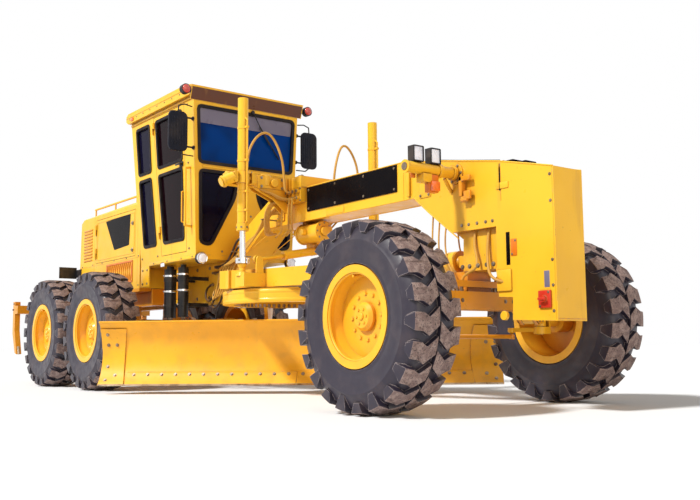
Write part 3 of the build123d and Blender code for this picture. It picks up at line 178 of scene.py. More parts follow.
def machine_paint(name, color, wear_and_shade=1.0, edge=0.007):
    """Sun-faded machine enamel: dust and painted sunlight on top, painted shade in hollows, gaps and under
    things, darker patches low down and chipped edges.
    """
    paint = Paint(name, color, 0.36)
    red, green, blue = color
    paint.over((red * 0.90, green * 0.86, blue * 0.8), paint.noise(1.7, 5, 0.38, 0.66), 0.7)
    # Paler yellow on upward faces: partly dust, partly painted sunlight on the tops
    paint.over((min(1, red * 1.03), green * 1.22, blue * 2.6), paint.facing_up(0.2, 0.95),
               paint.noise(2.6, 6, 0.25, 0.7))
    # Painted brown shade in wide hollows, then darker painted shade, partly grime, in narrow gaps
    paint.over((0.62, 0.19, 0.010), paint.corners(0.30, 0.20, 0.85), 0.60)
    paint.over((0.20, 0.075, 0.012), paint.corners(0.05, 0.3, 0.85), 0.6 * wear_and_shade)
    # Darker brown patches low down; orange-brown streaks on downward faces, partly grime and partly painted
    # shade under things; specks and chips
    paint.over((0.33, 0.17, 0.06), paint.noise(5.5, 8, 0.46, 0.68), paint.above(1.15, 0.25), 0.26 * wear_and_shade)
    paint.over((0.50, 0.24, 0.05), paint.noise(9, 6, 0.6, 0.74, (1, 1, 0.12)), paint.facing_up(0.4, -0.1),
               0.28 * wear_and_shade)
    paint.over((0.14, 0.07, 0.035), paint.noise(60, 3, 0.69, 0.73), paint.noise(3.1, 2, 0.5, 0.62),
               0.55 * wear_and_shade)
    paint.over((0.30, 0.22, 0.15), paint.edges(edge, 0.80, 0.97), paint.noise(21, 6, 0.50, 0.60), 0.75 * wear_and_shade)
    paint.rough(paint.noise(7, 5), 0.24, 0.50)
    paint.relief(paint.noise(420, 2), 0.05, 0.0006)
    paint.relief(paint.noise(3.2, 2), 0.10, 0.006)
    paint.set(Coat_Weight=0.12, Coat_Roughness=0.12, Specular_IOR_Level=0.38)
    return paint.done("machine_yellow")


def bare_metal(name, slot, color, roughness, grime, grain=(1, 1, 1)):
    metal = Paint(name, color, roughness, 0.9)
    metal.over((0.10, 0.055, 0.03), metal.noise(11, 6, 0.42, 0.70), grime)
    metal.rough(metal.noise(14, 6), roughness * 0.7, roughness * 1.5)
    metal.relief(metal.noise(160, 3, stretch=grain), 0.12, 0.0006)
    return metal.done(slot)


def dark_coat(name, slot, color, roughness, amount, dust=(0.30, 0.22, 0.15), gloss=0.3):
    """Dark paint, rubber or plastic under a film of road dust."""
    coat = Paint(name, color, roughness)
    coat.over(dust, coat.noise(4.5, 7, 0.42, 0.75), amount)
    coat.over(dust, coat.facing_up(0.4, 1.0), amount * 0.8)
    # Lighter edges, partly rubbed and partly a painted highlight
    coat.over([min(1, part * 2.4 + 0.02) for part in color], coat.edges(0.005, 0.82, 0.97),
              coat.noise(26, 4, 0.4, 0.6))
    coat.rough(coat.noise(12, 5), roughness * 0.8, min(1.0, roughness * 1.25))
    coat.relief(coat.noise(230, 3), 0.14, 0.0008)
    coat.set(Specular_IOR_Level=gloss)
    return coat.done(slot)


def tyre_rubber():
    """The smooth sidewall: blue-black, with dust, pale edges that are partly scuffs and partly a painted
    highlight, and painted shade in the low places.
    """
    rubber = Paint("tyre_rubber", (0.021, 0.016, 0.031), 0.4)
    rubber.over((0.085, 0.060, 0.066), rubber.noise(6, 8, 0.46, 0.74), 0.4)
    # Pale edges, partly scuffed and partly a painted highlight
    rubber.over((0.36, 0.30, 0.30), rubber.edges(0.010, 0.82, 0.97), rubber.noise(18, 6, 0.34, 0.56))
    # Painted shade, near black, in corners and low places
    rubber.over((0.004, 0.003, 0.005), rubber.corners(0.06, 0.2, 0.8), 0.75)
    rubber.rough(rubber.noise(15, 5), 0.27, 0.55)
    rubber.relief(rubber.noise(190, 4), 0.22, 0.0010)
    return rubber.done("tyre")


def tread_rubber():
    """The worn tops of the lugs: grey-brown with dust, pitted and cut, with pale edges that are partly worn
    and partly a painted highlight.
    """
    tread = Paint("tread_rubber", (0.200, 0.132, 0.122), 0.8)
    tread.over((0.36, 0.265, 0.24), tread.noise(24, 6, 0.38, 0.66), 0.75)
    tread.over((0.032, 0.022, 0.022), tread.cells(95, 0.10, 0.30))
    tread.over((0.045, 0.032, 0.034), tread.noise(75, 6, 0.54, 0.66), 0.8)
    # Pale edges, partly worn and partly a painted highlight
    tread.over((0.33, 0.27, 0.25), tread.edges(0.006, 0.80, 0.96), tread.noise(30, 4, 0.35, 0.6))
    tread.rough(tread.noise(30, 4), 0.62, 0.95)
    tread.relief(tread.noise(75, 6), 0.6, 0.0035)
    tread.relief(tread.cells(95, 0.10, 0.30), 0.5, -0.0020)
    return tread.done("tyre")


def tinted_glass(name, color, alpha, sky=None):
    """Dark glass; a painted reflection of blue sky lies over its high front panes only."""
    glass = Paint(name, color, 0.03)
    if sky:
        # Painted sky reflection on the high panes towards the front
        glass.over(sky, glass.span(glass.axis(glass.where, "X"), -0.3, 0.1), glass.above(2.36, 2.52))
    glass.over([part * 0.5 for part in color], glass.noise(1.6, 2, 0.45, 0.62), 0.55)
    glass.rough(glass.noise(3, 4), 0.015, 0.10)
    glass.set(Alpha=alpha, IOR=1.5, Specular_IOR_Level=0.06)
    return glass.done()


def lamp_glass(name, color, glow):
    lens = Paint(name, color, 0.12)
    lens.over([part * 0.55 for part in color], lens.noise(35, 3, 0.45, 0.7), 0.45)
    lens.relief(lens.waves(55, "Y"), 0.5, 0.0015)
    lens.set(Emission_Color=(*color, 1), Emission_Strength=glow, Coat_Weight=0.8)
    return lens.done("lamp_case")


def woven(name, color):
    cloth = Paint(name, color, 0.9)
    cloth.over([part * 2.0 + 0.01 for part in color], cloth.noise(8, 6, 0.4, 0.7), 0.6)
    for direction in ("X", "Y"):
        cloth.relief(cloth.waves(260, direction), 0.25, 0.0008)
    cloth.set(Sheen_Weight=0.3)
    return cloth.done("seat_fabric")


paint_yellow = machine_paint("sun_yellow", (0.95, 0.53, 0.026))
paint_blade = machine_paint("blade_yellow", (0.93, 0.46, 0.022), 0.9, 0.01)
paint_rim = machine_paint("rim_yellow", (0.97, 0.51, 0.022), 0.6)
# A darker, more orange copy of the yellow: painted shade for parts that sit in shadow, such as the axles,
# frames and ripper; it also draws the seams
paint_dark = machine_paint("shaded_yellow", (0.80, 0.33, 0.016), 1.3)
# Dark brown for the sheet under the visor: painted shade
visor_shade_brown = machine_paint("visor_shade_brown", (0.11, 0.030, 0.008), 0.8)
red_enamel = machine_paint("red_enamel", (0.62, 0.022, 0.010), 0.8)
orange_enamel = machine_paint("orange_enamel", (0.80, 0.20, 0.012), 0.6)
black_paint = dark_coat("black_enamel", "black_paint", (0.008, 0.008, 0.010), 0.32, 0.12)
panel_black = dark_coat("panel_black", "black_paint", (0.003, 0.002, 0.003), 0.24, 0.01, gloss=0.05)
seal_rubber = dark_coat("seal_rubber", "black_paint", (0.006, 0.004, 0.006), 0.55, 0.08, gloss=0.2)
case_black = dark_coat("case_black", "lamp_case", (0.012, 0.012, 0.016), 0.4, 0.28)
mirror_black = dark_coat("mirror_black", "mirror_case", (0.006, 0.007, 0.016), 0.26, 0.08, gloss=0.16)
hose_black = dark_coat("hose_black", "hose_rubber", (0.020, 0.014, 0.012), 0.45, 0.5, (0.34, 0.18, 0.07))
hose_painted = dark_coat("hose_painted", "hose_rubber", (0.62, 0.34, 0.06), 0.5, 0.6, (0.36, 0.18, 0.06))
iron = dark_coat("cast_iron", "engine_iron", (0.035, 0.032, 0.032), 0.6, 0.45)
visor_film = dark_coat("visor_film", "cab_glass", (0.17, 0.155, 0.23), 0.3, 0.3, (0.3, 0.28, 0.34))
console_plastic = dark_coat("moulded_plastic", "console_plastic", (0.035, 0.028, 0.026), 0.5, 0.3)
sidewall, tread = tyre_rubber(), tread_rubber()
rod_chrome = bare_metal("rod_chrome", "cylinder_rod", (0.80, 0.81, 0.84), 0.09, 0.12)
link_steel = bare_metal("link_steel", "linkage_steel", (0.42, 0.40, 0.38), 0.34, 0.5)
bolt_steel = bare_metal("bolt_steel", "linkage_steel", (0.33, 0.27, 0.20), 0.38, 0.6)
cut_steel = bare_metal("cut_steel", "linkage_steel", (0.50, 0.40, 0.28), 0.30, 0.7, (1, 1, 6))
burnt_steel = bare_metal("burnt_steel", "exhaust_steel", (0.23, 0.16, 0.12), 0.5, 0.8)
# The window glass's last colour is a painted reflection of blue sky on the high front panes
cab_glass = tinted_glass("window_glass", (0.006, 0.005, 0.022), 0.9, (0.0002, 0.045, 0.27))
door_glass = tinted_glass("door_glass", (0.008, 0.002, 0.004), 0.93)
white_lens = lamp_glass("white_lens", (0.78, 0.80, 0.90), 0.25)
orange_lens = lamp_glass("orange_lens", (0.90, 0.16, 0.015), 0.12)
red_lens = lamp_glass("red_lens", (0.55, 0.035, 0.015), 0.08)
seat_cloth = woven("seat_cloth", (0.050, 0.030, 0.024))

FINISH_OF_SLOT = {
    "machine_yellow": paint_yellow, "black_paint": black_paint, "cab_glass": cab_glass,
    "seat_fabric": seat_cloth, "console_plastic": console_plastic, "lamp_case": case_black,
    "mirror_case": mirror_black, "linkage_steel": link_steel, "cylinder_rod": rod_chrome,
    "engine_iron": iron, "exhaust_steel": burnt_steel, "tyre": sidewall, "hose_rubber": hose_black,
}
FINISH_OF_NODE = {"blade": paint_blade, "boom_panels": panel_black, "door_glass_right": door_glass,
                  "door_glass_left": door_glass}
# Axles, frames and other parts low in shadow get the darker copy of the yellow as painted shade
FINISH_OF_NODE.update(dict.fromkeys(
    ("front_axle", "lean_bar", "rear_axle", "rear_frame", "tandem_cases", "ripper", "tie_rod"), paint_dark))


def dress_cad_nodes():
    """Every construction node that stays in sight gets the finish of its material slot."""
    slots = {part["node"]: part["material_slot"] for part in frame["record"]["subparts"]}
    for node, piece in frame["nodes"].items():
        finish = FINISH_OF_NODE.get(node, FINISH_OF_SLOT[slots[node]])
        if node.startswith("rim_"):
            finish = paint_rim
        piece.data.materials.clear()
        piece.data.materials.append(finish)


# Modelling helpers
def settle(piece, body):
    """Puts a piece into the scene, on its body."""
    scene.collection.objects.link(piece)
    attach(piece, body)
    return piece


def piece_from(name, bm, body, *finishes, smooth=32):
    """Turns a finished bmesh into a piece that rides on a body."""
    mesh = bpy.data.meshes.new(name)
    bmesh.ops.recalc_face_normals(bm, faces=bm.faces)
    bm.to_mesh(mesh)
    bm.free()
    mesh.set_sharp_from_angle(angle=radians(smooth))
    mesh.polygons.foreach_set("use_smooth", [True] * len(mesh.polygons))
    for finish in finishes:
        mesh.materials.append(finish)
    return settle(bpy.data.objects.new(name, mesh), body)


def bevelled(bm, verts, width, segments=2, angle=30):
    """Rounds the sharp edges between some vertices."""
    chosen = set(verts)
    edges = [edge for edge in {e for v in verts for e in v.link_edges}
             if set(edge.verts) <= chosen and len(edge.link_faces) == 2
             and edge.calc_face_angle(0) > radians(angle)]
    if edges and width:
        bmesh.ops.bevel(bm, geom=edges, offset=width, offset_type="OFFSET", segments=segments,
                        profile=0.5, affect="EDGES", material=-1, clamp_overlap=True)


def lift_face(bm, faces, height):
    """Pulls flat faces up into a block."""
    lifted = bmesh.ops.extrude_face_region(bm, geom=faces)
    bmesh.ops.translate(bm, verts=[v for v in lifted["geom"] if isinstance(v, bmesh.types.BMVert)],
                        vec=(0, 0, height))


def add_box(bm, low, high, width, turn=Matrix()):
    """A box between two corners with rounded edges, turned about its middle."""
    place = Matrix.Translation((low + high) / 2) @ turn @ Matrix.Diagonal((*map(abs, high - low), 1))
    bevelled(bm, bmesh.ops.create_cube(bm, size=1, matrix=place)["verts"], width)


def add_rod(bm, start, end, radius, far_radius=None, corners=24, width=0.0):
    """A round bar or a cone between two points."""
    run = end - start
    made = bmesh.ops.create_cone(
        bm, cap_ends=True, cap_tris=False, segments=corners, radius1=radius,
        radius2=radius if far_radius is None else far_radius, depth=run.length,
        matrix=Matrix.Translation((start + end) / 2) @ run.to_track_quat("Z", "Y").to_matrix().to_4x4())
    bevelled(bm, made["verts"], width, 1, 40)


def add_bolt(bm, foot, normal, size):
    """A hexagon head on its washer, size being half the width across corners."""
    normal = normal.normalized()
    sunk = foot - normal * 0.001
    add_rod(bm, sunk, foot + normal * size * 0.22, size * 1.35, corners=14)
    add_rod(bm, sunk, foot + normal * size * 0.85, size, corners=6, width=size * 0.12)


def pour(bm, part, place=Matrix()):
    """Sets a finished part in place and adds it to a bigger bmesh."""
    bmesh.ops.transform(part, matrix=place, verts=part.verts)
    mesh = bpy.data.meshes.new("part")
    part.to_mesh(mesh)
    part.free()
    bm.from_mesh(mesh)
    bpy.data.meshes.remove(mesh)


def spin_round(bm, points, axis, steps, closed=False):
    """Spins a line of points about an axis through the origin."""
    verts = [bm.verts.new(point) for point in points]
    edges = [bm.edges.new(pair) for pair in zip(verts, verts[1:])]
    if closed:
        edges.append(bm.edges.new((verts[-1], verts[0])))
    bmesh.ops.spin(bm, geom=verts + edges, cent=(0, 0, 0), axis=axis, angle=2 * pi, steps=steps,
                   use_merge=True, use_duplicate=False)
    bmesh.ops.remove_doubles(bm, verts=bm.verts, dist=1e-6)


def add_turned(bm, profile, place, steps):
    """Spins an open profile of (radius, height) points about the z axis, and sets it in place."""
    part = bmesh.new()
    spin_round(part, [(radius, 0, height) for radius, height in profile], UP, steps)
    pour(bm, part, place)


def tubes(name, routes, radius, finish, *sides):
    """Smooth hoses on the front body through lists of points in millimetres."""
    curve = bpy.data.curves.new(name, "CURVE")
    curve.dimensions = "3D"
    curve.bevel_depth, curve.bevel_resolution, curve.resolution_u = radius / 1000, 4, 10
    curve.use_fill_caps = True
    for side, route in product(sides, routes):
        spline = curve.splines.new("NURBS")
        spline.points.add(len(route) - 1)
        for point, (x, y, z) in zip(spline.points, route):
            point.co = (*at(x, side * y, z), 1)
        spline.order_u = 3
        spline.use_endpoint_u = True
    curve.materials.append(finish)
    return settle(bpy.data.objects.new(name, curve), FRONT)


def grown(outline, by=13):
    """A closed outline with every side moved out by a distance."""
    corners, count = [Vector(p) for p in outline], len(outline)
    area = sum(a.x * b.y - b.x * a.y for a, b in zip(corners, corners[1:] + corners[:1]))
    out = []
    for i in range(count):
        back, here, ahead = corners[i - 1], corners[i], corners[(i + 1) % count]
        normals = []
        for run in (here - back, ahead - here):
            run = run.normalized() * (1 if area > 0 else -1)
            normals.append(Vector((run.y, -run.x)))
        bisector = normals[0] + normals[1]
        out.append(here + bisector * (by / (1 + normals[0].dot(normals[1]))))
    return out


def rectangle(low_u, high_u, low_v, high_v):
    return [(low_u, low_v), (high_u, low_v), (high_u, high_v), (low_u, high_v)]


def ring(middle, radius, count, axis, start=0.0):
    """Points on a circle about an axis of the machine."""
    points = []
    for step in range(count):
        turn = start + 2 * pi * step / count
        u, v = radius * cos(turn), radius * sin(turn)
        off = {"x": (0, u, v), "y": (u, 0, v), "z": (u, v, 0)}[axis]
        points.append([a + b for a, b in zip(middle, off)])
    return points


class Trim:
    """A piece of small parts in one finish, in the machine's millimetres. Each shape is written
    for the left side and made on every side that is on."""

    def __init__(self, name, body, finish, *sides, smooth=32):
        self.name, self.body, self.finish, self.smooth = name, body, finish, smooth
        self.bm, self.sides = bmesh.new(), sides or BOTH

    def on(self, *sides):
        self.sides = sides
        return self

    def places(self, *points):
        return [[at(x, side * y, z) for x, y, z in points] for side in self.sides]

    def box(self, x0, x1, y0, y1, z0, z1, width=2.0):
        for low, high in self.places((x0, y0, z0), (x1, y1, z1)):
            add_box(self.bm, low, high, width / 1000)
        return self

    def rod(self, start, end, radius, corners=20, width=0.0, far=None):
        for foot, tip in self.places(start, end):
            add_rod(self.bm, foot, tip, radius / 1000, (radius if far is None else far) / 1000,
                    corners, width / 1000)
        return self

    def rod_along(self, start, run, radius, corners=20, width=0.0, far=None):
        """A rod from a point, with how far it runs along x, y and z."""
        return self.rod(start, [a + b for a, b in zip(start, run)], radius, corners, width, far)

    def bolts(self, normal, size, *points):
        x, y, z = normal
        for side, feet in zip(self.sides, self.places(*points)):
            for foot in feet:
                add_bolt(self.bm, foot, Vector((x, side * y, z)), size / 1000)
        return self

    def path(self, radius, corners, *points):
        """A bent bar: straight pieces with a ball at each bend."""
        for start, end in zip(points, points[1:]):
            self.rod(start, end, radius, corners)
        for bends in self.places(*points[1:-1]):
            for bend in bends:
                bmesh.ops.create_icosphere(self.bm, subdivisions=2, radius=radius / 1000,
                                           matrix=Matrix.Translation(bend))
        return self

    def panel(self, outline, place, depth, corner, frame_width=None, low=0.0, edge=1.5):
        """A flat panel, or a frame of it, from an outline; place() says where each point goes."""
        for side in self.sides:
            part = bmesh.new()
            part.faces.new([part.verts.new((u / 1000, v / 1000, low / 1000)) for u, v in outline])
            if corner:
                bmesh.ops.bevel(part, geom=part.verts[:], offset=corner / 1000, offset_type="OFFSET",
                                segments=5, profile=0.5, affect="VERTICES", material=-1, clamp_overlap=True)
            if frame_width:
                kept = bmesh.ops.inset_region(part, faces=part.faces[:], thickness=frame_width / 1000,
                                              depth=0, use_boundary=True, use_even_offset=True)["faces"]
                bmesh.ops.delete(part, geom=[f for f in part.faces if f not in kept], context="FACES_ONLY")
            lift_face(part, part.faces[:], (depth - low) / 1000)
            bevelled(part, part.verts[:], edge / 1000, 1, 60)
            for vert in part.verts:
                vert.co = place(side, *vert.co * 1000)
            pour(self.bm, part)
        return self

    def seal(self, outline, place, corner=60, width=36):
        """A rubber seal that laps over the edge of a window."""
        return self.panel(grown(outline), place, 9, corner, width, -19)

    def dome(self, middle, radius, flat, rings):
        """The front half of a ball, pressed flat along x."""
        for (place,) in self.places(middle):
            part = bmesh.new()
            bmesh.ops.create_uvsphere(part, u_segments=2 * rings, v_segments=rings, radius=radius / 1000)
            bmesh.ops.bisect_plane(part, geom=part.verts[:] + part.edges[:] + part.faces[:],
                                   plane_co=(0, 0, 0), plane_no=(1, 0, 0), clear_inner=True, dist=1e-6)
            pour(self.bm, part, Matrix.Translation(place) @ Matrix.Diagonal((flat, 1, 1, 1)))
        return self

    def cushion(self, start, end, width):
        """A plump pad: a box rounded on all sides and crowned."""
        for low, high in self.places(start, end):
            part, middle, size = bmesh.new(), (low + high) / 2, high - low
            bmesh.ops.create_cube(part, size=1, matrix=Matrix.Translation(middle)
                                  @ Matrix.Diagonal((*map(abs, size), 1)))
            bmesh.ops.subdivide_edges(part, edges=part.edges[:], cuts=3, use_grid_fill=True)
            bevelled(part, part.verts[:], width / 1000, 4)
            for vert in part.verts:
                off = vert.co - middle
                fall = [1 - min(1, abs(off[i] / size[i] * 2)) ** 2 for i in range(3)]
                vert.co = middle + Vector([off[i] * (1 + 0.10 * fall[(i + 1) % 3] * fall[(i + 2) % 3])
                                           for i in range(3)])
            pour(self.bm, part)
        return self

    def done(self):
        return piece_from(self.name, self.bm, self.body, self.finish, smooth=self.smooth)


# Camera, lights and floor
CAMERA_AT = Vector((8.6384, -5.1953, 0.4876))
CAMERA_YAW, CAMERA_PITCH, CAMERA_ROLL = radians(37.636), radians(6.264), radians(-0.501)
CAMERA_LENS, SENSOR = 45.0, 36.0
FLOOR_REACH = 150


def make_camera():
    flat = cos(CAMERA_PITCH)
    look = Vector((-cos(CAMERA_YAW) * flat, sin(CAMERA_YAW) * flat, sin(CAMERA_PITCH)))
    level = look.cross(Vector(UP)).normalized()
    upright = level.cross(look)
    across = level * cos(CAMERA_ROLL) + upright * sin(CAMERA_ROLL)
    up = upright * cos(CAMERA_ROLL) - level * sin(CAMERA_ROLL)
    data = bpy.data.cameras.new("photo_camera")
    data.sensor_width, data.lens = SENSOR, CAMERA_LENS
    data.clip_start, data.clip_end = 0.1, 400
    camera = bpy.data.objects.new("photo_camera", data)
    camera.matrix_world = Matrix.Translation(CAMERA_AT) @ Matrix((across, up, -look)).transposed().to_4x4()
    scene.collection.objects.link(camera)
    scene.camera = camera


def add_sun(name, energy, spread, color, direction):
    sun = bpy.data.lights.new(name, "SUN")
    sun.energy, sun.angle, sun.color = energy, radians(spread), color
    lamp = bpy.data.objects.new(name, sun)
    lamp.rotation_mode = "QUATERNION"
    lamp.rotation_quaternion = Vector(direction).to_track_quat("-Z", "Y")
    scene.collection.objects.link(lamp)


def make_lights():
    """A soft sun from the machine's right and above, a warm fill from the front, and a pale sky."""
    add_sun("sun", 3.55, 7, (1.0, 0.985, 0.94), (0.10, 1.0, -0.98))
    add_sun("front_fill", 1.05, 50, (1.0, 0.84, 0.60), (-1.0, 0.25, -0.22))
    world = bpy.data.worlds.new("sky")
    world.use_nodes = True
    scene.world = world
    tree = world.node_tree
    backdrop = tree.nodes["Background"]
    feed(tree, backdrop.inputs["Color"], (1, 1, 1, 1))
    feed(tree, backdrop.inputs["Strength"], 1.0)
    light = add_node(tree, "Background", Color=(1.0, 0.975, 0.95, 1), Strength=0.27)
    path = add_node(tree, "LightPath")
    share = path.outputs["Is Camera Ray"]
    for ray in ("Is Glossy Ray", "Is Transmission Ray"):
        either = add_node(tree, "Math", share, path.outputs[ray])
        either.operation = "MAXIMUM"
        share = either.outputs[0]
    mix = add_node(tree, "MixShader", share, light.outputs[0], backdrop.outputs[0])
    feed(tree, tree.nodes["World Output"].inputs["Surface"], mix.outputs[0])


def make_floor():
    """A pale floor that fades into the background but keeps the machine's shadow."""
    bm = bmesh.new()
    bmesh.ops.create_grid(bm, x_segments=1, y_segments=1, size=FLOOR_REACH)
    mesh = bpy.data.meshes.new("floor")
    bm.to_mesh(mesh)
    bm.free()
    floor = bpy.data.objects.new("floor", mesh)
    scene.collection.objects.link(floor)
    pale = Paint("pale_floor", (0.93, 0.955, 0.995), 0.9)
    pale.over((0.92, 0.94, 0.975), pale.noise(0.35, 4, 0.4, 0.7), 0.25)
    pale.set(Specular_IOR_Level=0.1)
    mesh.materials.append(pale.done())


# Tyres
TYRE_R, TYRE_HALF = 0.6938, 0.2065
LUGS_IN_ROW, WHEEL_STEPS = 22, 88
LUG_FOOT_R, DEEP_LUG_FOOT_R = 0.600, 0.562
LUG_HALF, LUG_CREASE, LUG_ROUND = 0.069, 0.028, 0.009
# Middle line of a lug across the tyre: distance from the tyre's middle, and shift round the tyre
LUG_LINE = ((0.006, -0.040), (0.092, 0.038), (0.142, 0.004), (0.2055, 0.0))
# Radius and distance from the middle
TYRE_PROFILE = (
    (0.325, 0.128), (0.333, 0.152), (0.350, 0.170), (0.3695, 0.1755), (0.378, 0.188), (0.392, 0.191),
    (0.400, 0.188), (0.418, 0.193), (0.455, 0.2005), (0.500, 0.2045), (0.538, 0.2055), (0.541, 0.2065),
    (0.547, 0.2065), (0.550, 0.2045), (0.572, 0.1995), (0.596, 0.190), (0.622, 0.179), (0.642, 0.166),
    (0.653, 0.146), (0.657, 0.100), (0.6575, 0.0),
)


def add_lug(bm, row, turn, deep):
    """One lug as a flat block with worn edges, bent round the casing."""
    seen = set(bm.verts)
    foot = DEEP_LUG_FOOT_R if deep else LUG_FOOT_R
    outline = [(shift - LUG_HALF, across) for across, shift in LUG_LINE]
    outline += [(shift + LUG_HALF, across) for across, shift in reversed(LUG_LINE)]
    base = bm.faces.new([bm.verts.new((shift, min(across, TYRE_HALF - 0.001), foot))
                         for shift, across in outline])
    lift_face(bm, [base], TYRE_R - foot)

    def lug_verts():
        return [v for v in bm.verts if v not in seen]

    for cut in (-LUG_CREASE, LUG_CREASE):
        made = lug_verts()
        faces = {f for v in made for f in v.link_faces}
        parts = list({e for f in faces for e in f.edges}) + list(faces) + made
        bmesh.ops.bisect_plane(bm, geom=parts, plane_co=(cut, 0, 0), plane_no=(1, 0, 0), dist=1e-5)
    crown = [e for e in {e for v in lug_verts() for e in v.link_edges}
             if all(v.co.z > TYRE_R - 0.001 for v in e.verts) and e.calc_face_angle(0) > 0.5]
    bmesh.ops.bevel(bm, geom=crown, offset=LUG_ROUND, offset_type="OFFSET", segments=2, profile=0.5,
                    affect="EDGES", material=-1, clamp_overlap=True)
    made = lug_verts()
    for face in {f for v in made for f in v.link_faces}:
        face.material_index = 1 if all(v.co.z > TYRE_R - 0.008 for v in face.verts) else 0
    for vert in made:
        shift, across, radius = vert.co
        height = (radius - foot) / (TYRE_R - foot)
        worn = 1 - 0.10 * height
        # The lug narrows down the shoulder, and its top falls away towards the shoulder
        if across > 0.18:
            worn *= 0.42 + 0.58 * min(1, height / 0.5)
        radius -= height * (0.004 * (across / TYRE_HALF) ** 2 + 0.017 * max(0, (across - 0.135) / 0.07) ** 2)
        angle = turn + shift * worn / TYRE_R
        vert.co = (radius * sin(angle), row * across, -radius * cos(angle))


def tyre_mesh():
    """A turned casing with two staggered rows of lugs, outboard towards +y."""
    bm = bmesh.new()
    loop = [(radius, across, 0) for radius, across in TYRE_PROFILE]
    loop += [(radius, -across, 0) for radius, across in reversed(TYRE_PROFILE[:-1])]
    spin_round(bm, loop, OUT, WHEEL_STEPS, closed=True)
    step = 2 * pi / LUGS_IN_ROW
    for row in (1, -1):
        for place in range(LUGS_IN_ROW):
            add_lug(bm, row, step * (place + (0 if row > 0 else 0.5)), place % 2 == 1)
    bmesh.ops.recalc_face_normals(bm, faces=bm.faces)
    mesh = bpy.data.meshes.new("tyre")
    bm.to_mesh(mesh)
    bm.free()
    return mesh


STEER_X, FORE_X, PIVOT_X, AFT_X, AXLE_Z = 2960, -2198, -2960, -3722, 694
STEER_Y, TANDEM_Y = 1037.5, 1015
# x and y of a wheel's middle in the machine, and how far it is turned about its axle
WHEELS = {
    "front_right": (STEER_X, -STEER_Y, 4), "front_left": (STEER_X, STEER_Y, 9),
    "tandem_right_fore": (FORE_X, -TANDEM_Y, 2), "tandem_right_aft": (AFT_X, -TANDEM_Y, 7),
    "tandem_left_fore": (FORE_X, TANDEM_Y, 11), "tandem_left_aft": (AFT_X, TANDEM_Y, 5),
}
DISC_OUT, BOLT_RING_R, HUB_FACE, HUB_RING_R, LOCK_RING_OUT = 0.067, 0.165, 0.119, 0.055, 0.172


def wheel_place(name):
    x, y, turn = WHEELS[name]
    facing = Matrix.Rotation(pi, 4, "Z") if y < 0 else Matrix()
    return Matrix.Translation(at(x, y, AXLE_Z)) @ facing @ Matrix.Rotation(radians(turn), 4, "Y")


def add_wheel_fittings(bm):
    """The ring of nuts on the disc, the hub's cap with its bolts, the lock ring and the valve."""
    out = Vector(OUT)
    for step in range(12):
        angle = step * pi / 6
        ray = Vector((sin(angle), 0, cos(angle)))
        add_bolt(bm, ray * BOLT_RING_R + out * DISC_OUT, out, 0.013)
        if step % 2:
            add_bolt(bm, ray * HUB_RING_R + out * HUB_FACE, out, 0.009)
    turned_up = Matrix.Rotation(-pi / 2, 4, "X")
    add_turned(bm, [(0.0, 0.012), (0.020, 0.012), (0.026, 0.006), (0.026, -0.002)],
               Matrix.Translation(out * HUB_FACE) @ turned_up, 24)
    add_turned(bm, [(0.300, -0.004), (0.303, 0.006), (0.310, 0.010), (0.318, 0.006), (0.321, -0.004)],
               Matrix.Translation(out * LOCK_RING_OUT) @ turned_up, 72)
    valve = Vector((0, 0.10, 0.302))
    for start, end, radius in (((0, 0, 0), (0, 0.07, -0.012), 0.006),
                               ((0, 0.05, -0.009), (0, 0.075, -0.013), 0.009)):
        add_rod(bm, valve + Vector(start), valve + Vector(end), radius, corners=10)


def make_wheels():
    shape = tyre_mesh()
    for name in WHEELS:
        bm = bmesh.new()
        bm.from_mesh(shape)
        bmesh.ops.transform(bm, matrix=wheel_place(name), verts=bm.verts)
        tyre = piece_from("tyre_tread_" + name, bm, "wheel_" + name, sidewall, tread, smooth=38)
        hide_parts("tyre_" + name)
        bm = bmesh.new()
        add_wheel_fittings(bm)
        bmesh.ops.transform(bm, matrix=wheel_place(name), verts=bm.verts)
        piece_from("wheel_fittings_" + name, bm, "wheel_" + name, paint_rim)
    bpy.data.meshes.remove(shape)


# The cab's windows: outlines along the machine or across it, and up
SIDE_WINDOWS = (
    [(-1972, 2550), (-1635, 2550), (-1673, 3120), (-2030, 3120)],
    [(-1860, 1670), (-1532, 1670), (-1640, 2475), (-1963, 2475)],
)
DOOR_WINDOWS = (
    [(-1446, 2555), (-839, 2555), (-839, 3120), (-1497, 3120)],
    [(-1335, 1670), (-832, 1670), (-845, 2470), (-1440, 2470)],
)
WINDSCREEN = [(-600, 2490), (600, 2490), (628, 3120), (-628, 3120)]
LOW_FRONT_WINDOW = [(100, 2410), (590, 2410), (570, 1610), (440, 1590), (150, 2130)]
REAR_WINDOW = [(-560, 2400), (560, 2400), (590, 3100), (-590, 3100)]
CAB_FLOOR, CAB_RISE = 1485, 1740
# Half widths of the boom and nose, of their welds and bolts, and of the engine's hood
BOOM_SIDE, BOOM_BOLTS, HOOD_SKIN = 158, 160, 490


def side_skin(z):
    return 620 + (z - CAB_FLOOR) / 29


def front_skin(z):
    return -572 + (z - CAB_FLOOR) * 31 / CAB_RISE


def rear_skin(z):
    return -1962 - (z - CAB_FLOOR) * 213 / CAB_RISE


def on_side(side, x, z, out):
    return at(x, side * (side_skin(z) + out), z)


def on_front(side, y, z, out):
    return at(front_skin(z) + out, side * y, z)


def on_rear(side, y, z, out):
    return at(rear_skin(z) - out, side * y, z)


def on_hood(side, x, z, out):
    return at(x, side * (HOOD_SKIN + out), z)


def across_machine(side, y, z, x):
    return at(x, side * y, z)


def front_point(y, z, out):
    return front_skin(z) + out, y, z


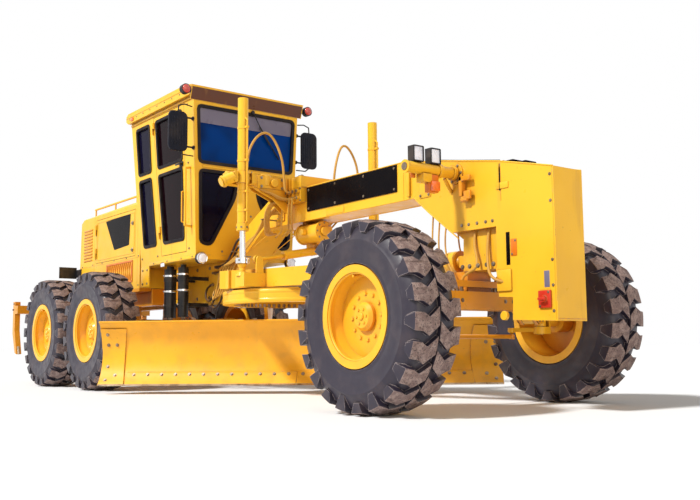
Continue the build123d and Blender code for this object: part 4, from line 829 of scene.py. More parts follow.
def cab_trim():
    """Seals round the fixed windows, the blank sun band, the wiper, the grab bars and the bolts."""
    seals = Trim("cab_window_seals", FRONT, seal_rubber)
    for outline in SIDE_WINDOWS:
        seals.seal(outline, on_side, 48, 34)
    seals.seal(LOW_FRONT_WINDOW, on_front).on(ONCE)
    seals.seal(WINDSCREEN, on_front).seal(REAR_WINDOW, on_rear).done()
    band = [(-590, 2935), (590, 2935), (607, 3098), (-607, 3098)]
    Trim("windscreen_sun_band", FRONT, visor_film, ONCE).panel(
        band, on_front, -14, 12, None, -17, 0.4).done()
    wiper = Trim("windscreen_wiper", FRONT, black_paint, ONCE)
    wiper.rod(front_point(60, 3138, -4), front_point(60, 3138, 26), 20)
    wiper.path(6, 10, front_point(60, 3138, 22), front_point(170, 2950, 24), front_point(290, 2790, 12))
    wiper.path(8, 10, front_point(160, 2990, 6), front_point(420, 2640, 6)).done()
    for side in BOTH:
        Trim("cab_grab_bar_" + SIDES[side], FRONT, paint_yellow, side).path(
            13, 14, (-655, side_skin(1790), 1790), (-655, 712, 1800), (-655, 712, 2430),
            (-655, side_skin(2440), 2440)).done()
    rail = Trim("cab_drip_rail", FRONT, paint_yellow)
    rail.panel([(-2160, 3190), (-565, 3190), (-563, 3206), (-2162, 3206)], on_side, 14, 0)
    rail.on(ONCE).panel(rectangle(-560, 560, 2440, 2462), on_front, 7, 6).done()
    bolts = Trim("cab_bolts", FRONT, bolt_steel)
    for x, z in ((-1925, 1540), (-1500, 1540), (-720, 1560), (-700, 2500), (-700, 3150)):
        bolts.bolts(OUT, 10, (x, side_skin(z), z))
    for y, z in ((300, 1530), (60, 1945), (60, 2450)):
        bolts.bolts(AHEAD, 9, front_point(y, z, 0))
    bolts.done()


def door_trim():
    """Seals, handle and pull bar of the two cab doors."""
    handle_y = side_skin(2510) + 7
    pull_y = side_skin(1900)
    for side in BOTH:
        name, body = SIDES[side], "cab_door_" + SIDES[side]
        seals = Trim("door_seals_" + name, body, seal_rubber, side)
        for outline in DOOR_WINDOWS:
            seals.seal(outline, on_side, 48, 34)
        seals.done()
        handle = Trim("door_handle_" + name, body, black_paint, side)
        handle.panel(rectangle(-905, -815, 2482, 2540), on_side, 7, 12)
        handle.rod_along((-835, handle_y, 2511), (0, 28, 0), 13)
        handle.box(-945, -822, handle_y + 22, handle_y + 34, 2500, 2522, 5).done()
        Trim("door_pull_" + name, body, paint_yellow, side).path(
            8, 10, (-806, pull_y, 1850), (-806, pull_y + 40, 1860), (-806, pull_y + 42, 2190),
            (-806, side_skin(2200), 2200)).done()


def cab_furniture():
    """Cushions over the seat, its arm rests, and the levers and dials on the console."""
    cushions = Trim("seat_cushions", FRONT, seat_cloth, ONCE, smooth=60)
    cushions.cushion((-1700, -245, 1915), (-1205, 245, 1985), 26)
    cushions.cushion((-1668, -215, 2000), (-1598, 215, 2290), 26)
    cushions.cushion((-1700, -200, 2300), (-1640, 200, 2500), 24)
    cushions.on(*BOTH).cushion((-1620, 275, 2120), (-1290, 335, 2165), 14).done()
    seat = Trim("seat_frame", FRONT, console_plastic)
    seat.rod((-1600, 300, 1850), (-1600, 300, 2125), 14).rod((-1600, 250, 1850), (-1600, 305, 1850), 16)
    seat.on(ONCE).box(-1700, -1300, -300, -262, 1790, 1850, 8).done()
    levers = Trim("control_levers", FRONT, console_plastic)
    for y in range(28, 105, 19):
        levers.rod((-935, y, 2240), (-985, y * 1.5, 2400), 5, 8)
        for (knob,) in levers.places((-987, y * 1.52, 2408)):
            bmesh.ops.create_uvsphere(levers.bm, u_segments=12, v_segments=8, radius=0.015,
                                      matrix=Matrix.Translation(knob))
    levers.box(-1130, -1050, 55, 115, 1560, 1572, 3).rod((-1055, 85, 1566), (-1005, 85, 1600), 8).done()
    dials = Trim("console_dials", FRONT, black_paint, ONCE)
    for y in (-66, 0, 66):
        dials.rod_along((-958, y, 2292), (-14, 0, 20), 24, far=22)
    dials.done()
    Trim("floor_mat", FRONT, console_plastic, ONCE).box(-1900, -630, -560, 560, 1485, 1497, 3).done()


def roof_trim():
    """Corner lamps' lenses, the roof's seam, a brown sheet of painted shade under the visor and the screws
    along the roof.
    """
    Trim("roof_corner_lenses", FRONT, red_lens).dome((-486, 797, 3259), 47, 0.5, 12).done()
    Trim("roof_seam", FRONT, paint_dark).box(-2225, -500, 728, 731, 3292, 3297, 1).done()
    # A brown sheet on the visor's underside: painted shade where the visor overhangs
    Trim("roof_visor_underside_shade", FRONT, visor_shade_brown, ONCE).panel(
        rectangle(-718, 718, 3172, 3302),
        lambda side, y, z, out: at(-538 + (z - 3168) * 48 / 154 + out, side * y, z), 3, 6).done()
    Trim("roof_screws", FRONT, bolt_steel).bolts(
        OUT, 7, *((x, 728, 3272) for x in range(-2120, -590, 190))).done()
    Trim("roof_side_lamps", FRONT, orange_lens).box(-2080, -2010, 726, 742, 3245, 3280, 6).done()


def mirror_trim():
    """Mirrors with rounded cases, ribbed in front, their glass behind, on wire arms."""
    cases = Trim("mirror_cases", FRONT, mirror_black)
    cases.panel(rectangle(742, 968, 2582, 3018), across_machine, -547, 62, None, -577, 7)
    for y in range(778, 934, 31):
        cases.box(-549, -542, y - 5, y + 5, 2640, 2960, 3)
    for z in (2640, 2960):
        cases.rod((-560, side_skin(z), z), (-560, 750, z), 10)
        cases.rod_along((-560, side_skin(z), z), (0, 16, 0), 22)
    mirrors = cases.done()
    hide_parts("mirrors")
    Trim("mirror_glass", FRONT, rod_chrome).panel(
        rectangle(758, 952, 2600, 3000), across_machine, -576, 50, None, -579, 0.5).done()
    arms = Trim("mirror_arms", FRONT, black_paint)
    arms.path(7, 10, (-556, 690, 3090), (-556, 780, 3104), (-556, 850, 3080), (-556, 856, 3012))
    arms.path(7, 10, (-556, 672, 2545), (-556, 800, 2548), (-556, 856, 2590)).done()


BLADE_TURN = Matrix.Translation(at(235.9, 122.5, 0)) @ Matrix.Rotation(radians(46.45), 4, "Z")
BLADE_HALF, BLADE_TRIM_HALF, END_BIT = 2133.5, 2130.5, 285
FACE_R, FACE_Z, FACE_BACK = 471.2, 434.8, -321.2


def on_blade(along_blade, z, out=0.0):
    """A point on the blade's curved face, or some way before it."""
    back = FACE_BACK + sqrt(FACE_R ** 2 - (z - FACE_Z) ** 2)
    return BLADE_TURN @ Vector((along_blade / 1000, (back - out) / 1000, z / 1000))


def add_blade_plate(bm, start, end, low, high, thick, bulge=0.0):
    """A plate that follows the blade's curved face."""
    part = bmesh.new()
    bmesh.ops.create_grid(part, x_segments=max(2, int((end - start) / 120)), y_segments=12, size=0.5)
    lift_face(part, part.faces[:], 1)
    bmesh.ops.recalc_face_normals(part, faces=part.faces)
    for vert in part.verts:
        across, up, out = vert.co.x + 0.5, vert.co.y + 0.5, vert.co.z
        place = start + (end - start) * across
        if bulge:
            place -= bulge * (across if bulge > 0 else across - 1) * (1 - (2 * up - 1) ** 2)
        vert.co = on_blade(place, low + (high - low) * up, thick * out - 1)
    bevelled(part, part.verts[:], 0.003, 1, 55)
    pour(bm, part)


def blade_trim():
    """End bits, cutting edges, and the bolts that hold them."""
    end, inner = BLADE_TRIM_HALF, BLADE_TRIM_HALF - END_BIT - 7
    for name, finish, plates in (
            ("blade_end_bits", paint_blade, ((-end, END_BIT - end, 94, 690, 15, 38),
                                             (end - END_BIT, end, 94, 690, 15, -38))),
            ("blade_cutting_edges", paint_blade, ((-inner, -2, 94, 232, 12), (2, inner, 94, 232, 12))),
            ("blade_worn_lip", cut_steel, ((4 - end, end - 4, 91, 108, 16.5),))):
        piece = Trim(name, "blade", finish, smooth=25)
        for plate in plates:
            add_blade_plate(piece.bm, *plate)
        piece.done()
    bolts = Trim("blade_bolts", "blade", bolt_steel)
    places = [(80 - inner + step * 152, 205) for step in range(24)]
    for side in BOTH:
        places += [(side * (end - back), z) for back, z in ((70, 150), (70, 290), (70, 520), (165, 520),
                                                            (165, 200), (70, 630))]
    for along_blade, z in places:
        foot = on_blade(along_blade, z, 14 if abs(along_blade) > BLADE_HALF - END_BIT else 11)
        out = on_blade(along_blade, z, 40) - foot
        slope = on_blade(along_blade, z + 5) - on_blade(along_blade, z - 5)
        add_bolt(bolts.bm, foot, out - slope * (out.dot(slope) / slope.length_squared), 0.014)
    bolts.done()
    rib = Trim("blade_top_rib", "blade", paint_blade)
    ends = (BLADE_TURN @ Vector((place / 1000, 0.021, 0.764)) for place in (-end, end))
    add_rod(rib.bm, *ends, 0.011, corners=12)
    rib.done()
    rails = Trim("blade_rail_steel", "blade", cut_steel)
    for z in (0.372, 0.600):
        part = bmesh.new()
        add_box(part, Vector((-1.60, 0.1846, z - 0.018)), Vector((1.60, 0.1849, z + 0.018)), 0)
        pour(rails.bm, part, BLADE_TURN)
    rails.done()


def boom_trim():
    """Bolts on the boom's dark panels, weld beads and small plates along the boom."""
    bolts = Trim("boom_panel_bolts", FRONT, bolt_steel)
    bolts.bolts(OUT, 9, *product((900, 1330, 1760, 2186), (168,), (1826, 2008)))
    bolts.bolts(OUT, 15, *product((-1700, -1400, -1100, -800), (BOOM_BOLTS,), (1050, 1390))).done()
    welds = Trim("boom_welds", FRONT, paint_yellow, smooth=60)
    for route in ([(250, 2045), (2300, 2045), (2753, 1976), (3403, 1862), (3895, 1746)],
                  [(60, 1716), (2429, 1716), (2598, 1578), (2862, 1383), (2948, 1320)]):
        welds.path(6, 8, *((x, 159, z) for x, z in route))
    welds.path(4, 8, (2300, BOOM_BOLTS, 1717), (2300, BOOM_BOLTS, 2043))
    welds.path(5, 8, (330, BOOM_BOLTS, 1717), (-430, BOOM_BOLTS, 1440)).done()
    plates = Trim("boom_brackets", FRONT, paint_yellow)
    plates.box(2360, 2392, BOOM_SIDE, 182, 1735, 2010, 4).box(2500, 2640, BOOM_SIDE, 168, 1700, 1860, 5)
    plates.box(340, 470, BOOM_SIDE, 176, 1760, 2030, 5).box(1180, 1460, BOOM_SIDE, 166, 1722, 1782, 4).done()
    hooks = Trim("gooseneck_hooks", FRONT, paint_dark)
    hooks.box(3010, 3044, BOOM_SIDE, 214, 1640, 1800, 6).box(3010, 3130, 190, 214, 1760, 1800, 6)
    hooks.box(3060, 3130, 190, 214, 1610, 1680, 8).rod((3028, 200, 1610), (3094, 200, 1610), 17, 16, 2)
    hooks.box(3028, 3100, 190, 212, 1600, 1640, 6).done()
    Trim("boom_small_parts", FRONT, bolt_steel).bolts(
        OUT, 9, *product((2520, 2620), (170,), (1720, 1840)), (360, 170, 1790), (450, 170, 1790),
        (360, 170, 2000), (450, 170, 2000)).done()


def nose_trim():
    """The nose's seams, a black strip of painted shade for its slot, caps, red switch box, bolts and the pipe
    along its top.
    """
    seams = Trim("nose_seams", FRONT, paint_dark)
    for x, width, low, high in ((3398, 6, 1560, 1850), (3350, 6, 860, 1055), (3886, 3, 660, 1740)):
        seams.box(x, x + width, BOOM_SIDE, 161.5, low, high, 1)
    seams.on(ONCE).box(3899, 3901.5, -150, 150, 662, 668, 1).done()
    # The slot on the nose's side is a black strip: painted shade for its dark opening
    slots = Trim("nose_slots", FRONT, panel_black).box(3440, 3478, 157, 162, 1072, 1318, 4).on(ONCE)
    for x in (3405, 3530):
        z = 1862 - (x - 3403) * 0.2354
        slots.box(x - 38, x + 38, -62, 62, z - 5, z + 24, 6)
    slots.path(6, 10, (2700, -150, 1992), (2980, -150, 1941), (3390, -150, 1871), (3396, -163, 1800),
               (3396, -163, 1640)).done()
    Trim("nose_plates", FRONT, orange_enamel).box(3488, 3545, BOOM_SIDE, 165, 1136, 1262, 3).done()
    switch = Trim("nose_switch_box", FRONT, red_enamel, ONCE).box(3742, 3852, -178, -BOOM_SIDE, 742, 866, 6)
    switch.rod((3797, -176, 806), (3797, -206, 806), 24).box(3765, 3829, -214, -203, 796, 816, 4).done()
    Trim("nose_label", FRONT, visor_film, ONCE).box(3790, 3838, -161.5, -159, 888, 1005, 1).done()
    bolts = Trim("nose_bolts", FRONT, bolt_steel).bolts(OUT, 7, (3500, 164, 1150), (3533, 164, 1248))
    for side, y in ((RIGHT, 178), (LEFT, 164)):
        bolts.on(side).bolts(OUT, 7, (3760, y, 756), (3836, y, 852))
    bolts.on(*BOTH).bolts(OUT, 9, *product((3868,), (BOOM_BOLTS,), (720, 900, 1080, 1500, 1690)))
    for z, size in ((1092, 14), (1420, 10)):
        bolts.bolts(OUT, size, *product((2985, 3060, 3150, 3240, 3310), (BOOM_BOLTS,), (z,)))
    bolts.done()
    eyes = Trim("nose_lifting_eyes", FRONT, paint_yellow).box(3350, 3490, BOOM_SIDE, 176, 880, 1040, 8)
    eyes.rod((3420, BOOM_SIDE, 700), (3420, 186, 700), 34, 24, 3)
    eyes.box(3360, 3480, 120, 168, 1650, 1700, 4).done()


LAMP_YS = (404, 582)
LAMP_ARM_X, LAMP_ARM_Z = 2930, 1840
LOW_LAMP = (-511, 572, 1440)


def front_lamps():
    """Lenses of the lamps on the arms and below the cab, and the turn lamps."""
    lenses = Trim("front_lamp_lenses", FRONT, white_lens)
    rims = Trim("front_lamp_rims", FRONT, black_paint)
    for y in LAMP_YS:
        lenses.box(2951, 2957, y - 45, y + 45, 1894, 2003, 2)
        rims.panel(rectangle(y - 53, y + 53, 1886, 2011), across_machine, 2967, 10, 9, 2957)
        rims.rod((2928, y, 1840), (2928, y, 1888), 14)
        for z in range(1900, 1990, 22):
            rims.box(2888, 2897, y - 44, y + 44, z, z + 8, 2)
    lenses.done()
    rims.done()
    Trim("turn_lamps", FRONT, orange_lens).box(2964, 2990, 385, 470, 1668, 1745, 8).done()
    Trim("turn_lamp_cases", FRONT, orange_enamel).box(2905, 2966, 378, 477, 1660, 1800, 8).box(
        2880, 2900, 560, 600, 1770, 1850, 4).done()
    clamps = Trim("lamp_arm_clamps", FRONT, paint_yellow)
    for y, run, radius in ((180, 36, 56), (330, 36, 56), (BOOM_SIDE, 14, 82)):
        clamps.rod_along((LAMP_ARM_X, y, LAMP_ARM_Z), (0, run, 0), radius, 28, 3)
    clamps.path(14, 12, (2880, 165, 1700), (2905, 260, 1795)).done()
    Trim("lamp_arm_bolts", FRONT, bolt_steel).bolts(
        OUT, 9, *ring((LAMP_ARM_X, 172, LAMP_ARM_Z), 68, 6, "y")).rod_along(
        (LAMP_ARM_X, 699, LAMP_ARM_Z), (0, 7, 0), 30).done()
    Trim("low_lamp_lenses", FRONT, white_lens).dome(LOW_LAMP, 50, 0.35, 14).done()
    rings = Trim("low_lamp_rings", FRONT, rod_chrome)
    rim = [(0.050, -0.002), (0.050, 0.006), (0.057, 0.008), (0.062, 0.002), (0.062, -0.012)]
    for (place,) in rings.places(LOW_LAMP):
        add_turned(rings.bm, rim, Matrix.Translation(place) @ Matrix.Rotation(pi / 2, 4, "Y"), 40)
    rings.done()
    Trim("step_lamps", FRONT, white_lens).box(-1420, -1330, 618, 626, 1408, 1462, 4).done()


LIFT_X, LIFT_Y = 710, 800


def yoke_trim():
    """Bolts, caps and pipe ends on the lift yoke and the valve blocks beside the boom."""
    bolts = Trim("yoke_bolts", FRONT, bolt_steel)
    bolts.bolts(UP, 15, *product((360, 430, 500, 800, 840), (205,), (2155,)))
    bolts.bolts(OUT, 11, *product((545, 605), (900,), (2050, 2135)))
    bolts.bolts(AHEAD, 11, *product((630,), (300, 540), (2050, 2135)))
    bolts.bolts(OUT, 8, *product((585, 840), (228,), (1912, 2030))).done()
    foot, tip = Vector((710, 900, 2090)), Vector((690, 1015, 2030))
    unit = (tip - foot).normalized()
    caps = Trim("yoke_caps", FRONT, paint_yellow)
    caps.rod(tip, tip + unit * 14, 44, 28, 4).rod(tip - unit * 24, tip - unit * 6, 58, 28, 3)
    caps.box(515, 635, 560, 590, 2028, 2158, 5).box(515, 635, 230, 262, 2030, 2158, 5).done()
    castings = Trim("yoke_castings", FRONT, paint_yellow)
    for x in (528, 608):
        castings.panel([(240, 2046), (640, 2046), (600, 2010), (400, 1930), (240, 1800)],
                       lambda side, y, z, out: at(x + out, side * y, z), 14, 10)
    for start, run, radius, corners, width in (
            ((575, 470, 2060), (0, 0, 110), 62, 32, 5), ((575, 470, 2168), (0, 0, 14), 40, 28, 3),
            ((626, 660, 2095), (42, 0, 0), 52, 32, 5), ((626, 400, 2090), (34, 0, 0), 40, 28, 4),
            ((520, 790, 2150), (0, 90, 0), 30, 24, 3)):
        castings.rod_along(start, run, radius, corners, width)
    castings.on(ONCE)
    for start, run, radius, corners, width in (
            ((652, -60, 1600), (22, 0, 0), 104, 44, 3), ((985, -60, 1600), (22, 0, 0), 104, 44, 3),
            ((1008, -60, 1600), (26, 0, 0), 46, 32, 5), ((820, -150, 1600), (0, -55, 0), 32, 24, 3)):
        castings.rod_along(start, run, radius, corners, width)
    castings.done()
    Trim("hanger_bolts", FRONT, bolt_steel, ONCE).bolts(AHEAD, 9, *ring((1007, -60, 1600), 82, 8, "x")).done()
    fittings = Trim("valve_fittings", FRONT, bolt_steel)
    for place in product((613, 679, 745, 811), (250,), (1938, 2006)):
        fittings.rod_along(place, (0, 12, 0), 17, 6, 1.5)
    fittings.done()
    pipes = Trim("valve_pipes", FRONT, hose_painted)
    for x, out in ((613, 0), (745, 9), (811, 18)):
        pipes.path(9, 12, (x, 255, 1938), (x, 285 + out, 1925), (x - 20, 280 + out, 1780),
                   (x - 130, 215, 1640), (x - 300, 170, 1600))
    pipes.done()


def cylinder_trim():
    """Gland nuts, pipes, clamps and caps of the two lift cylinders."""
    x = LIFT_X
    for side in BOTH:
        name, y = SIDES[side], side * LIFT_Y
        barrel = "lift_barrel_" + name
        pipes = Trim("lift_barrel_pipes_" + name, barrel, paint_yellow, ONCE)
        pipes.path(8, 12, (x + 45, y, 1650), (x + 80, y, 1668), (x + 80, y, 2170), (x + 80, y, 2640),
                   (x + 42, y, 2668))
        for z in (1760, 1940, 2240, 2560):
            pipes.rod_along((x, y, z), (0, 0, 26), 54, 32, 2)
            pipes.box(x + 46, x + 92, y - 14, y + 14, z + 2, z + 24, 3)
        pipes.done()
        for piece, body, radius, z, start in (("lift_barrel_ends_", barrel, 57, 1612, 0.3),
                                              ("lift_cup_bolts_", "lift_rod_" + name, 63, 1298, 0.0)):
            bolts = Trim(piece + name, body, bolt_steel, ONCE)
            for step in range(6):
                turn = step * pi / 3 + start
                out = (cos(turn), sin(turn), 0)
                bolts.bolts(out, 8, (x + radius * out[0], y + radius * out[1], z))
            bolts.done()


# Hoses: points from end to end, ending on the beam's right side or at their fittings
BEAM_SIDE = -160
BEAM_HOSES = (
    [(-900, BEAM_SIDE, 1385), (-900, -245, 1385), (-600, -248, 1378), (-455, -244, 1500), (-350, -238, 1650),
     (-330, BEAM_SIDE, 1690)],
    [(-960, BEAM_SIDE, 1325), (-960, -212, 1325), (-700, -214, 1320), (-500, -208, 1420), (-420, -204, 1560),
     (-400, BEAM_SIDE, 1600)],
    [(-700, BEAM_SIDE, 1230), (-700, -240, 1225), (-730, -290, 1080), (-850, -305, 980), (-970, -290, 1060),
     (-1010, -235, 1180), (-1010, BEAM_SIDE, 1200)],
    [(-640, BEAM_SIDE, 1130), (-640, -225, 1120), (-670, -260, 980), (-800, -265, 900), (-920, -240, 980),
     (-940, BEAM_SIDE, 1060)],
)
YOKE_HOSE = [(600, 690, 2150), (600, 690, 2340), (606, 610, 2520), (622, 500, 2606), (645, 410, 2550),
             (675, 325, 2340), (671, 305, 2130), (679, 300, 2006), (679, 252, 2006)]
AXLE_HOSE = [(3085, 112, 1374), (3085, 135, 1270), (3130, 145, 1150), (3140, 165, 1075), (3060, 183, 1040),
             (2990, 185, 1000), (2990, 185, 900)]
NOSE_HOSE = [(3230, 112, 1374), (3230, 135, 1250), (3240, 150, 1120), (3290, 190, 1010), (3385, 198, 955),
             (3420, 160, 950)]
THIN_HOSES = ((2640, 2885), (2715, 2918), (2790, 2951))
HOSE_END_Z = 900


def control_routes():
    """The bundle from the valves to the low beam, the short ones above it and the loops below."""
    routes = []
    for step in range(7):
        y, drop = -236 - 13 * step, 34 * step
        routes.append([(540 - 26 * step, BEAM_SIDE, 1960 - 20 * step), (500 - 26 * step, y, 1955 - 20 * step),
                       (330 - 12 * step, y - 26, 1800 - drop * 0.6), (60, y - 10, 1650 - drop * 0.5),
                       (-190 - 18 * step, y + 6, 1590 - drop), (-400 - 24 * step, y + 16, 1440 - drop * 0.3),
                       (-520 - 34 * step, -200, 1400 - drop * 0.4),
                       (-560 - 34 * step, BEAM_SIDE, 1395 - drop * 0.4)])
    for step in range(4):
        routes.append([(560 + 14 * step, -230, 1925), (545 + 14 * step, -300 - 16 * step, 1930),
                       (500, -370 - 16 * step, 1860), (420, -330 - 14 * step, 1700 - 20 * step),
                       (330 - 30 * step, -240, 1620), (300 - 30 * step, BEAM_SIDE, 1640)])
    for step in range(6):
        x, back, y = -420 - 45 * step, -640 - 30 * step, -262 - 9 * step
        routes.append([(x, -158, 1415), (x, y + 40, 1415), (x - 10, y, 1250 - 20 * step),
                       (x - 80, y - 6, 1090 - 16 * step), (back + 30, y, 1090 - 14 * step),
                       (back, y + 40, 1250 - 20 * step), (back, -158, 1260 - 20 * step)])
    return routes


def make_hoses():
    """Rubber hoses from end to end, in the places of the construction's hoses, and more like them."""
    thin = [[(x, 140, 1577 - 0.7386 * (x - 2598)), (x - 10, 146, 1385), (x + 5, 162, 1230),
             (x + 80, 185, 1090), (end, 190, 985), (end, 190, HOSE_END_Z)] for x, end in THIN_HOSES]
    arches = [[(640 + 30 * step, 262, 1938), (640 + 30 * step, 330, 1930),
               (600 + 30 * step, 420 + 20 * step, 1990), (590 + 24 * step, 520 + 20 * step, 2010),
               (575 + 14 * step, 560, 2040)] for step in range(3)]
    beam_piece = tubes("beam_hoses", BEAM_HOSES, 12, hose_black, ONCE)
    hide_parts("hoses")
    tubes("yoke_hoses", [YOKE_HOSE], 12, hose_painted, *BOTH)
    tubes("nose_hoses", [AXLE_HOSE, NOSE_HOSE], 11, hose_painted, *BOTH)
    tubes("thin_hoses", thin, 7, hose_painted, *BOTH)
    tubes("control_hoses", control_routes(), 10.5, hose_painted, ONCE)
    tubes("yoke_short_hoses", arches, 9.5, hose_painted, *BOTH)
    clips = Trim("hose_clips", FRONT, bolt_steel, ONCE).box(300, 330, -350, -158, 1770, 1782, 2)
    clips.box(-215, -185, -345, -158, 1440, 1452, 2).box(-330, -300, -330, -158, 1500, 1512, 2).done()
    ends = Trim("hose_ends", FRONT, bolt_steel, ONCE)
    for route in BEAM_HOSES:
        for end, inner in ((route[0], route[1]), (route[-1], route[-2])):
            run = (Vector(inner) - Vector(end)).normalized()
            ends.rod_along(end, run * 22, 19, 6, 2).rod_along(end, run * 46, 15, 16, 1)
    ends.on(*BOTH)
    for end in (YOKE_HOSE[0], AXLE_HOSE[-1]):
        ends.rod_along(end, (0, 0, 20), 18, 6, 2).rod_along(end, (0, 0, 44), 15, 16)
    for _, x in THIN_HOSES:
        ends.rod_along((x, 190, HOSE_END_Z), (0, 0, 30), 11, 6, 1)
    ends.done()


def hood_top(x, above=0):
    return 2298 + above + (x + 4170) * 0.016


def hood_trim():
    """The blank dark panel and latch on each hood door, the louvres, the lattice and the seams."""
    for side in BOTH:
        name, body = SIDES[side], "hood_door_" + SIDES[side]
        Trim("hood_door_panel_" + name, body, panel_black, side).panel(
            [(-3395, 2175), (-2590, 2195), (-2625, 1790), (-3095, 1765)], on_hood, 3, 14).done()
        Trim("hood_door_edge_" + name, body, paint_yellow, side).panel(
            rectangle(-3690, -2470, 1670, 2200), on_hood, 4, 20, 16).done()
        latches = Trim("hood_door_latches_" + name, body, bolt_steel, side)
        for z in (1720, 2060):
            latches.rod_along((-2520, HOOD_SKIN, z), (0, 10, 0), 26, 24, 2)
            latches.box(-2548, -2492, HOOD_SKIN + 8, HOOD_SKIN + 17, z - 7, z + 7, 3)
        latches.done()
    louvres = Trim("hood_louvres", REAR, paint_dark)
    half_slat = Vector((0.150, 0.011, 0.013))
    for side, step in product(BOTH, range(11)):
        middle = at(-4010, side * (HOOD_SKIN - 2), 1700 + step * 42)
        tilt = Matrix.Rotation(side * 0.6, 4, "X")
        add_box(louvres.bm, middle - half_slat, middle + half_slat, 0.004, tilt)
    louvres.done()
    lattice = Trim("hood_side_lattice", REAR, orange_enamel)
    lattice.panel(rectangle(-3340, -2500, 1310, 1590), on_hood, 8, 10, 22)
    for step in range(13):
        x = -3310 + step * 62
        lattice.rod((x, HOOD_SKIN + 2, 1330), (x + 46, HOOD_SKIN + 2, 1572), 5, 8)
        lattice.rod((x + 46, HOOD_SKIN + 3, 1330), (x, HOOD_SKIN + 3, 1572), 5, 8)
    lattice.done()
    seams = Trim("hood_seams", REAR, paint_dark)
    seams.box(-4290, -2300, HOOD_SKIN - 1, HOOD_SKIN + 1, 1606, 1611, 1)
    for x in (-3790, -2370):
        seams.box(x, x + 5, HOOD_SKIN - 1, HOOD_SKIN + 1, 1240, 2270, 1)
    seams.on(ONCE)
    for x in (-3700, -3100, -2500):
        seams.box(x, x + 5, -440, 440, hood_top(x, 4), hood_top(x, 8), 1)
    seams.done()
    Trim("hood_bolts", REAR, bolt_steel).bolts(
        OUT, 8, *product((-4220, -3830, -3500, -3100, -2700, -2330), (HOOD_SKIN,), (1262, 1626))).done()
    caps = Trim("hood_top_caps", REAR, black_paint, ONCE)
    for x, y, radius in ((-4000, 0, 60), (-2700, 210, 48), (-2700, -210, 48)):
        caps.rod_along((x, y, hood_top(x)), (0, 0, 34), radius, 32, 4, radius * 0.86)
    caps.done()
    clamps = Trim("exhaust_clamps", REAR, bolt_steel, ONCE)
    for z in (2372, 2560):
        clamps.rod_along((-3450, 40, z), (0, 0, 22), 54, 36, 2).box(-3400, -3370, 30, 50, z + 2, z + 20, 2)
    clamps.done()


def engine_trim():
    """What shows of the engine when a hood door stands open."""
    covers = Trim("engine_covers", REAR, iron)
    for x in range(-3720, -2860, 170):
        covers.on(ONCE).box(x, x + 150, -170, 170, 1948, 2035, 10)
        covers.on(*BOTH).rod((x + 75, 296, 1800), (x + 75, 350, 1820), 34, 20, 3)
    covers.rod((-3740, 356, 1822), (-2740, 356, 1822), 42, 24, 6)
    covers.box(-3780, -2700, 298, 312, 1300, 1420, 6).done()
    filters = Trim("engine_filters", REAR, paint_yellow)
    for x in (-3420, -3280, -3140):
        filters.rod((x, 370, 1450), (x, 370, 1700), 52, 32, 8).rod((x, 300, 1712), (x, 380, 1712), 28, 20, 2)
    filters.done()
    pipes = Trim("engine_pipes", REAR, burnt_steel)
    pipes.path(16, 14, (-2900, 330, 1350), (-2900, 380, 1500), (-2760, 390, 1640), (-2720, 350, 1760))
    pipes.path(12, 14, (-3650, 330, 1350), (-3650, 390, 1470), (-3560, 400, 1640)).done()
    Trim("engine_bolts", REAR, bolt_steel).bolts(
        OUT, 9, *((x, 312, 1360) for x in range(-3770, -2750, 92))).done()


def rear_trim():
    """Lenses of the rear lamps, the radiator's screen and the rear plate's bolts."""
    for name, finish, y in (("rear_lamp_lenses", red_lens, 685), ("rear_turn_lenses", orange_lens, 600)):
        Trim(name, REAR, finish).rod_along((-4489, y, 1555), (-6, 0, 0), 31, 32, 1.5, 28).done()
    screen = Trim("radiator_screen", REAR, case_black, ONCE)
    for y in range(-345, 375, 30):
        screen.rod((-4246, y, 1375), (-4246, y, 2108), 2.5, 6)
    screen.done()
    Trim("rear_bolts", REAR, bolt_steel).bolts(
        BACK, 8, *product((-4275,), (350,), (1370, 1560, 1750, 1940, 2120))).done()


def axle_trim():
    """Pin caps and bolts on the front axle, and covers on the tandem cases."""
    for side in BOTH:
        name = SIDES[side]
        caps = Trim("lean_pin_caps_" + name, "lean_" + name, paint_dark, side)
        bolts = Trim("lean_pin_bolts_" + name, "lean_" + name, bolt_steel, side)
        for out, x in ((AHEAD, 3067), (BACK, 2853)):
            caps.rod_along((x, 640, 700), (out[0] * 10, 0, 0), 44, 28, 3)
            bolts.bolts(out, 7, *ring((x + out[0] * 10, 640, 700), 26, 4, "x", pi / 4))
        caps.done()
        bolts.done()
        Trim("kingpin_caps_" + name, "steer_" + name, bolt_steel, side).rod_along(
            (STEER_X, 760, 850), (0, 0, 10), 40, 28, 2).bolts(UP, 10, (STEER_X, 760, 860)).done()
    Trim("front_axle_bolts", FRONT, bolt_steel).bolts(
        AHEAD, 12, *product((3055,), (240, 330, 420), (830,))).done()
    covers = Trim("tandem_covers", REAR, paint_dark)
    bolts = Trim("tandem_cover_bolts", REAR, bolt_steel)
    for x in (AFT_X, PIVOT_X, FORE_X):
        covers.box(x - 110, x + 110, 600, 745, 848, 858, 4)
        bolts.bolts(UP, 8, *product((x - 95, x, x + 95), (614, 731), (858,)))
    covers.done()
    bolts.bolts(IN, 11, *ring((PIVOT_X, 524, AXLE_Z), 185, 14, "y")).done()


def drawbar_trim():
    """Bolted caps, plates and the circle's drive motor on the drawbar."""
    bolts = Trim("drawbar_bolts", "drawbar", bolt_steel)
    bolts.bolts(UP, 13, *product((660, 795), (600,), (1225,)))
    bolts.bolts(UP, 15, *product((390,), (200, 400, 600), (1225,)))
    bolts.bolts(UP, 12, *product((1040, 1140), (200, 420), (1110,))).done()
    plates = Trim("drawbar_plates", "drawbar", paint_yellow).box(345, 440, 120, 700, 1224, 1233, 4)
    plates.rod_along((LIFT_X, LIFT_Y, 1150), (0, 0, 42), 60, 32, 3, 44).done()
    motor = Trim("drive_motor", "drawbar", iron, ONCE).rod_along((500, -180, 1110), (0, 0, 105), 70, 32, 5)
    motor.rod_along((460, 60, 1140), (-130, 0, 0), 64, 32, 5).done()


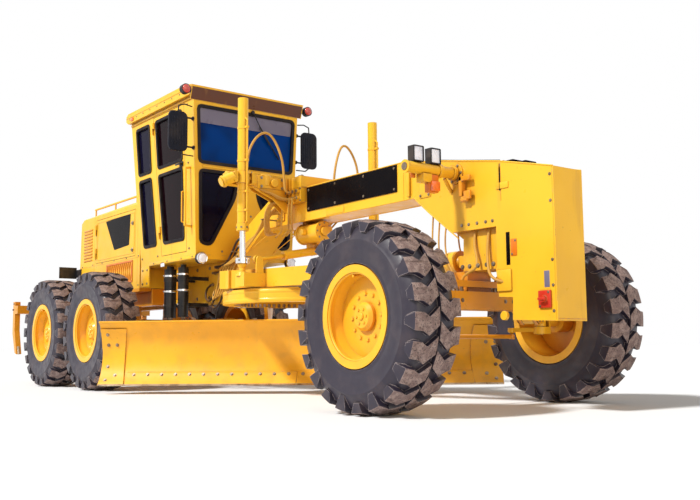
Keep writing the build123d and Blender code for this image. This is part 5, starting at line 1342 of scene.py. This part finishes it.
CIRCLE_X, CIRCLE_Z, TEETH = 480, 926, 72


def circle_trim():
    """The teeth inside the circle and the bands round it."""
    teeth = Trim("circle_teeth", "circle", cut_steel)
    quarter = Matrix.Rotation(pi / 4, 4, "Z")
    for step in range(TEETH):
        part = bmesh.new()
        bmesh.ops.create_cone(part, cap_ends=True, cap_tris=False, segments=4, radius1=0.015, radius2=0.015,
                              depth=0.036, matrix=quarter)
        turn = Matrix.Rotation(step * 2 * pi / TEETH, 4, "Z")
        pour(teeth.bm, part, Matrix.Translation(at(CIRCLE_X, 0, CIRCLE_Z)) @ turn
             @ Matrix.Translation((0.650, 0, 0)) @ quarter)
    teeth.done()
    band = Trim("circle_band", "circle", paint_yellow, smooth=60)
    for z in (1006, CIRCLE_Z):
        add_turned(band.bm, [(0.764, -0.016), (0.7665, -0.014), (0.7665, 0.014), (0.764, 0.016)],
                   Matrix.Translation(at(CIRCLE_X, 0, z)), 120)
    band.done()


def platform_trim():
    """Treads, bolts and clamps round the cab's floor and the accumulators below it."""
    Trim("platform_edges", FRONT, paint_yellow).box(-1730, -575, 618, 626, 1444, 1482, 3).box(
        -1958, -1735, 618, 624, 1205, 1440, 4).done()
    bolts = Trim("platform_bolts", FRONT, bolt_steel)
    bolts.bolts(OUT, 11, *product((-1900, -1780), (624,), (1240, 1400)))
    bolts.bolts(OUT, 8, *product((-1600, -1250, -900, -640), (626,), (1463,))).done()
    clamps = Trim("accumulator_clamps", FRONT, rod_chrome)
    caps = Trim("accumulator_caps", FRONT, bolt_steel)
    for x, radius in ((-1480, 70), (-1150, 60)):
        for z in (960, 1120, 1300):
            clamps.rod_along((x, 470, z), (0, 0, 24), radius + 3, 40, 2)
            clamps.box(x - 10, x + 10, 470 + radius, 486 + radius, z + 2, z + 22, 3)
        caps.rod_along((x, 470, 830), (0, 0, -18), radius * 0.5, 28, 2, radius * 0.36)
        caps.rod_along((x, 470, 818), (0, 0, -18), 16, 6)
    clamps.done()
    caps.done()


def ripper_trim():
    """Points on the ripper's shanks, and the keepers of the shanks."""
    points = Trim("ripper_points", "ripper", cut_steel, ONCE)
    keepers = Trim("ripper_keepers", "ripper", bolt_steel, ONCE)
    for y in (-1002.5, -501.25, 0, 501.25, 1002.5):
        points.rod((-5322, y, 452), (-5303, y, 414), 26, 4, 2, 26 * 0.72)
        points.rod((-5345, y, 520), (-5318, y, 448), 30, 4, 2, 30 * 0.72)
        keepers.rod((-5462, y - 50, 1150), (-5462, y + 50, 1150), 13, 16, 1)
        keepers.bolts(BACK, 10, (-5420, y - 62, 1060), (-5420, y + 62, 1060))
    points.done()
    keepers.done()


scene.view_settings.view_transform = "Standard"
dress_cad_nodes()
make_camera()
make_lights()
make_floor()
make_wheels()
make_hoses()
for make_trim in (cab_trim, door_trim, cab_furniture, roof_trim, mirror_trim, blade_trim, boom_trim,
                  nose_trim, front_lamps, yoke_trim, cylinder_trim, hood_trim, engine_trim, rear_trim,
                  axle_trim, drawbar_trim, circle_trim, platform_trim, ripper_trim):
    make_trim()
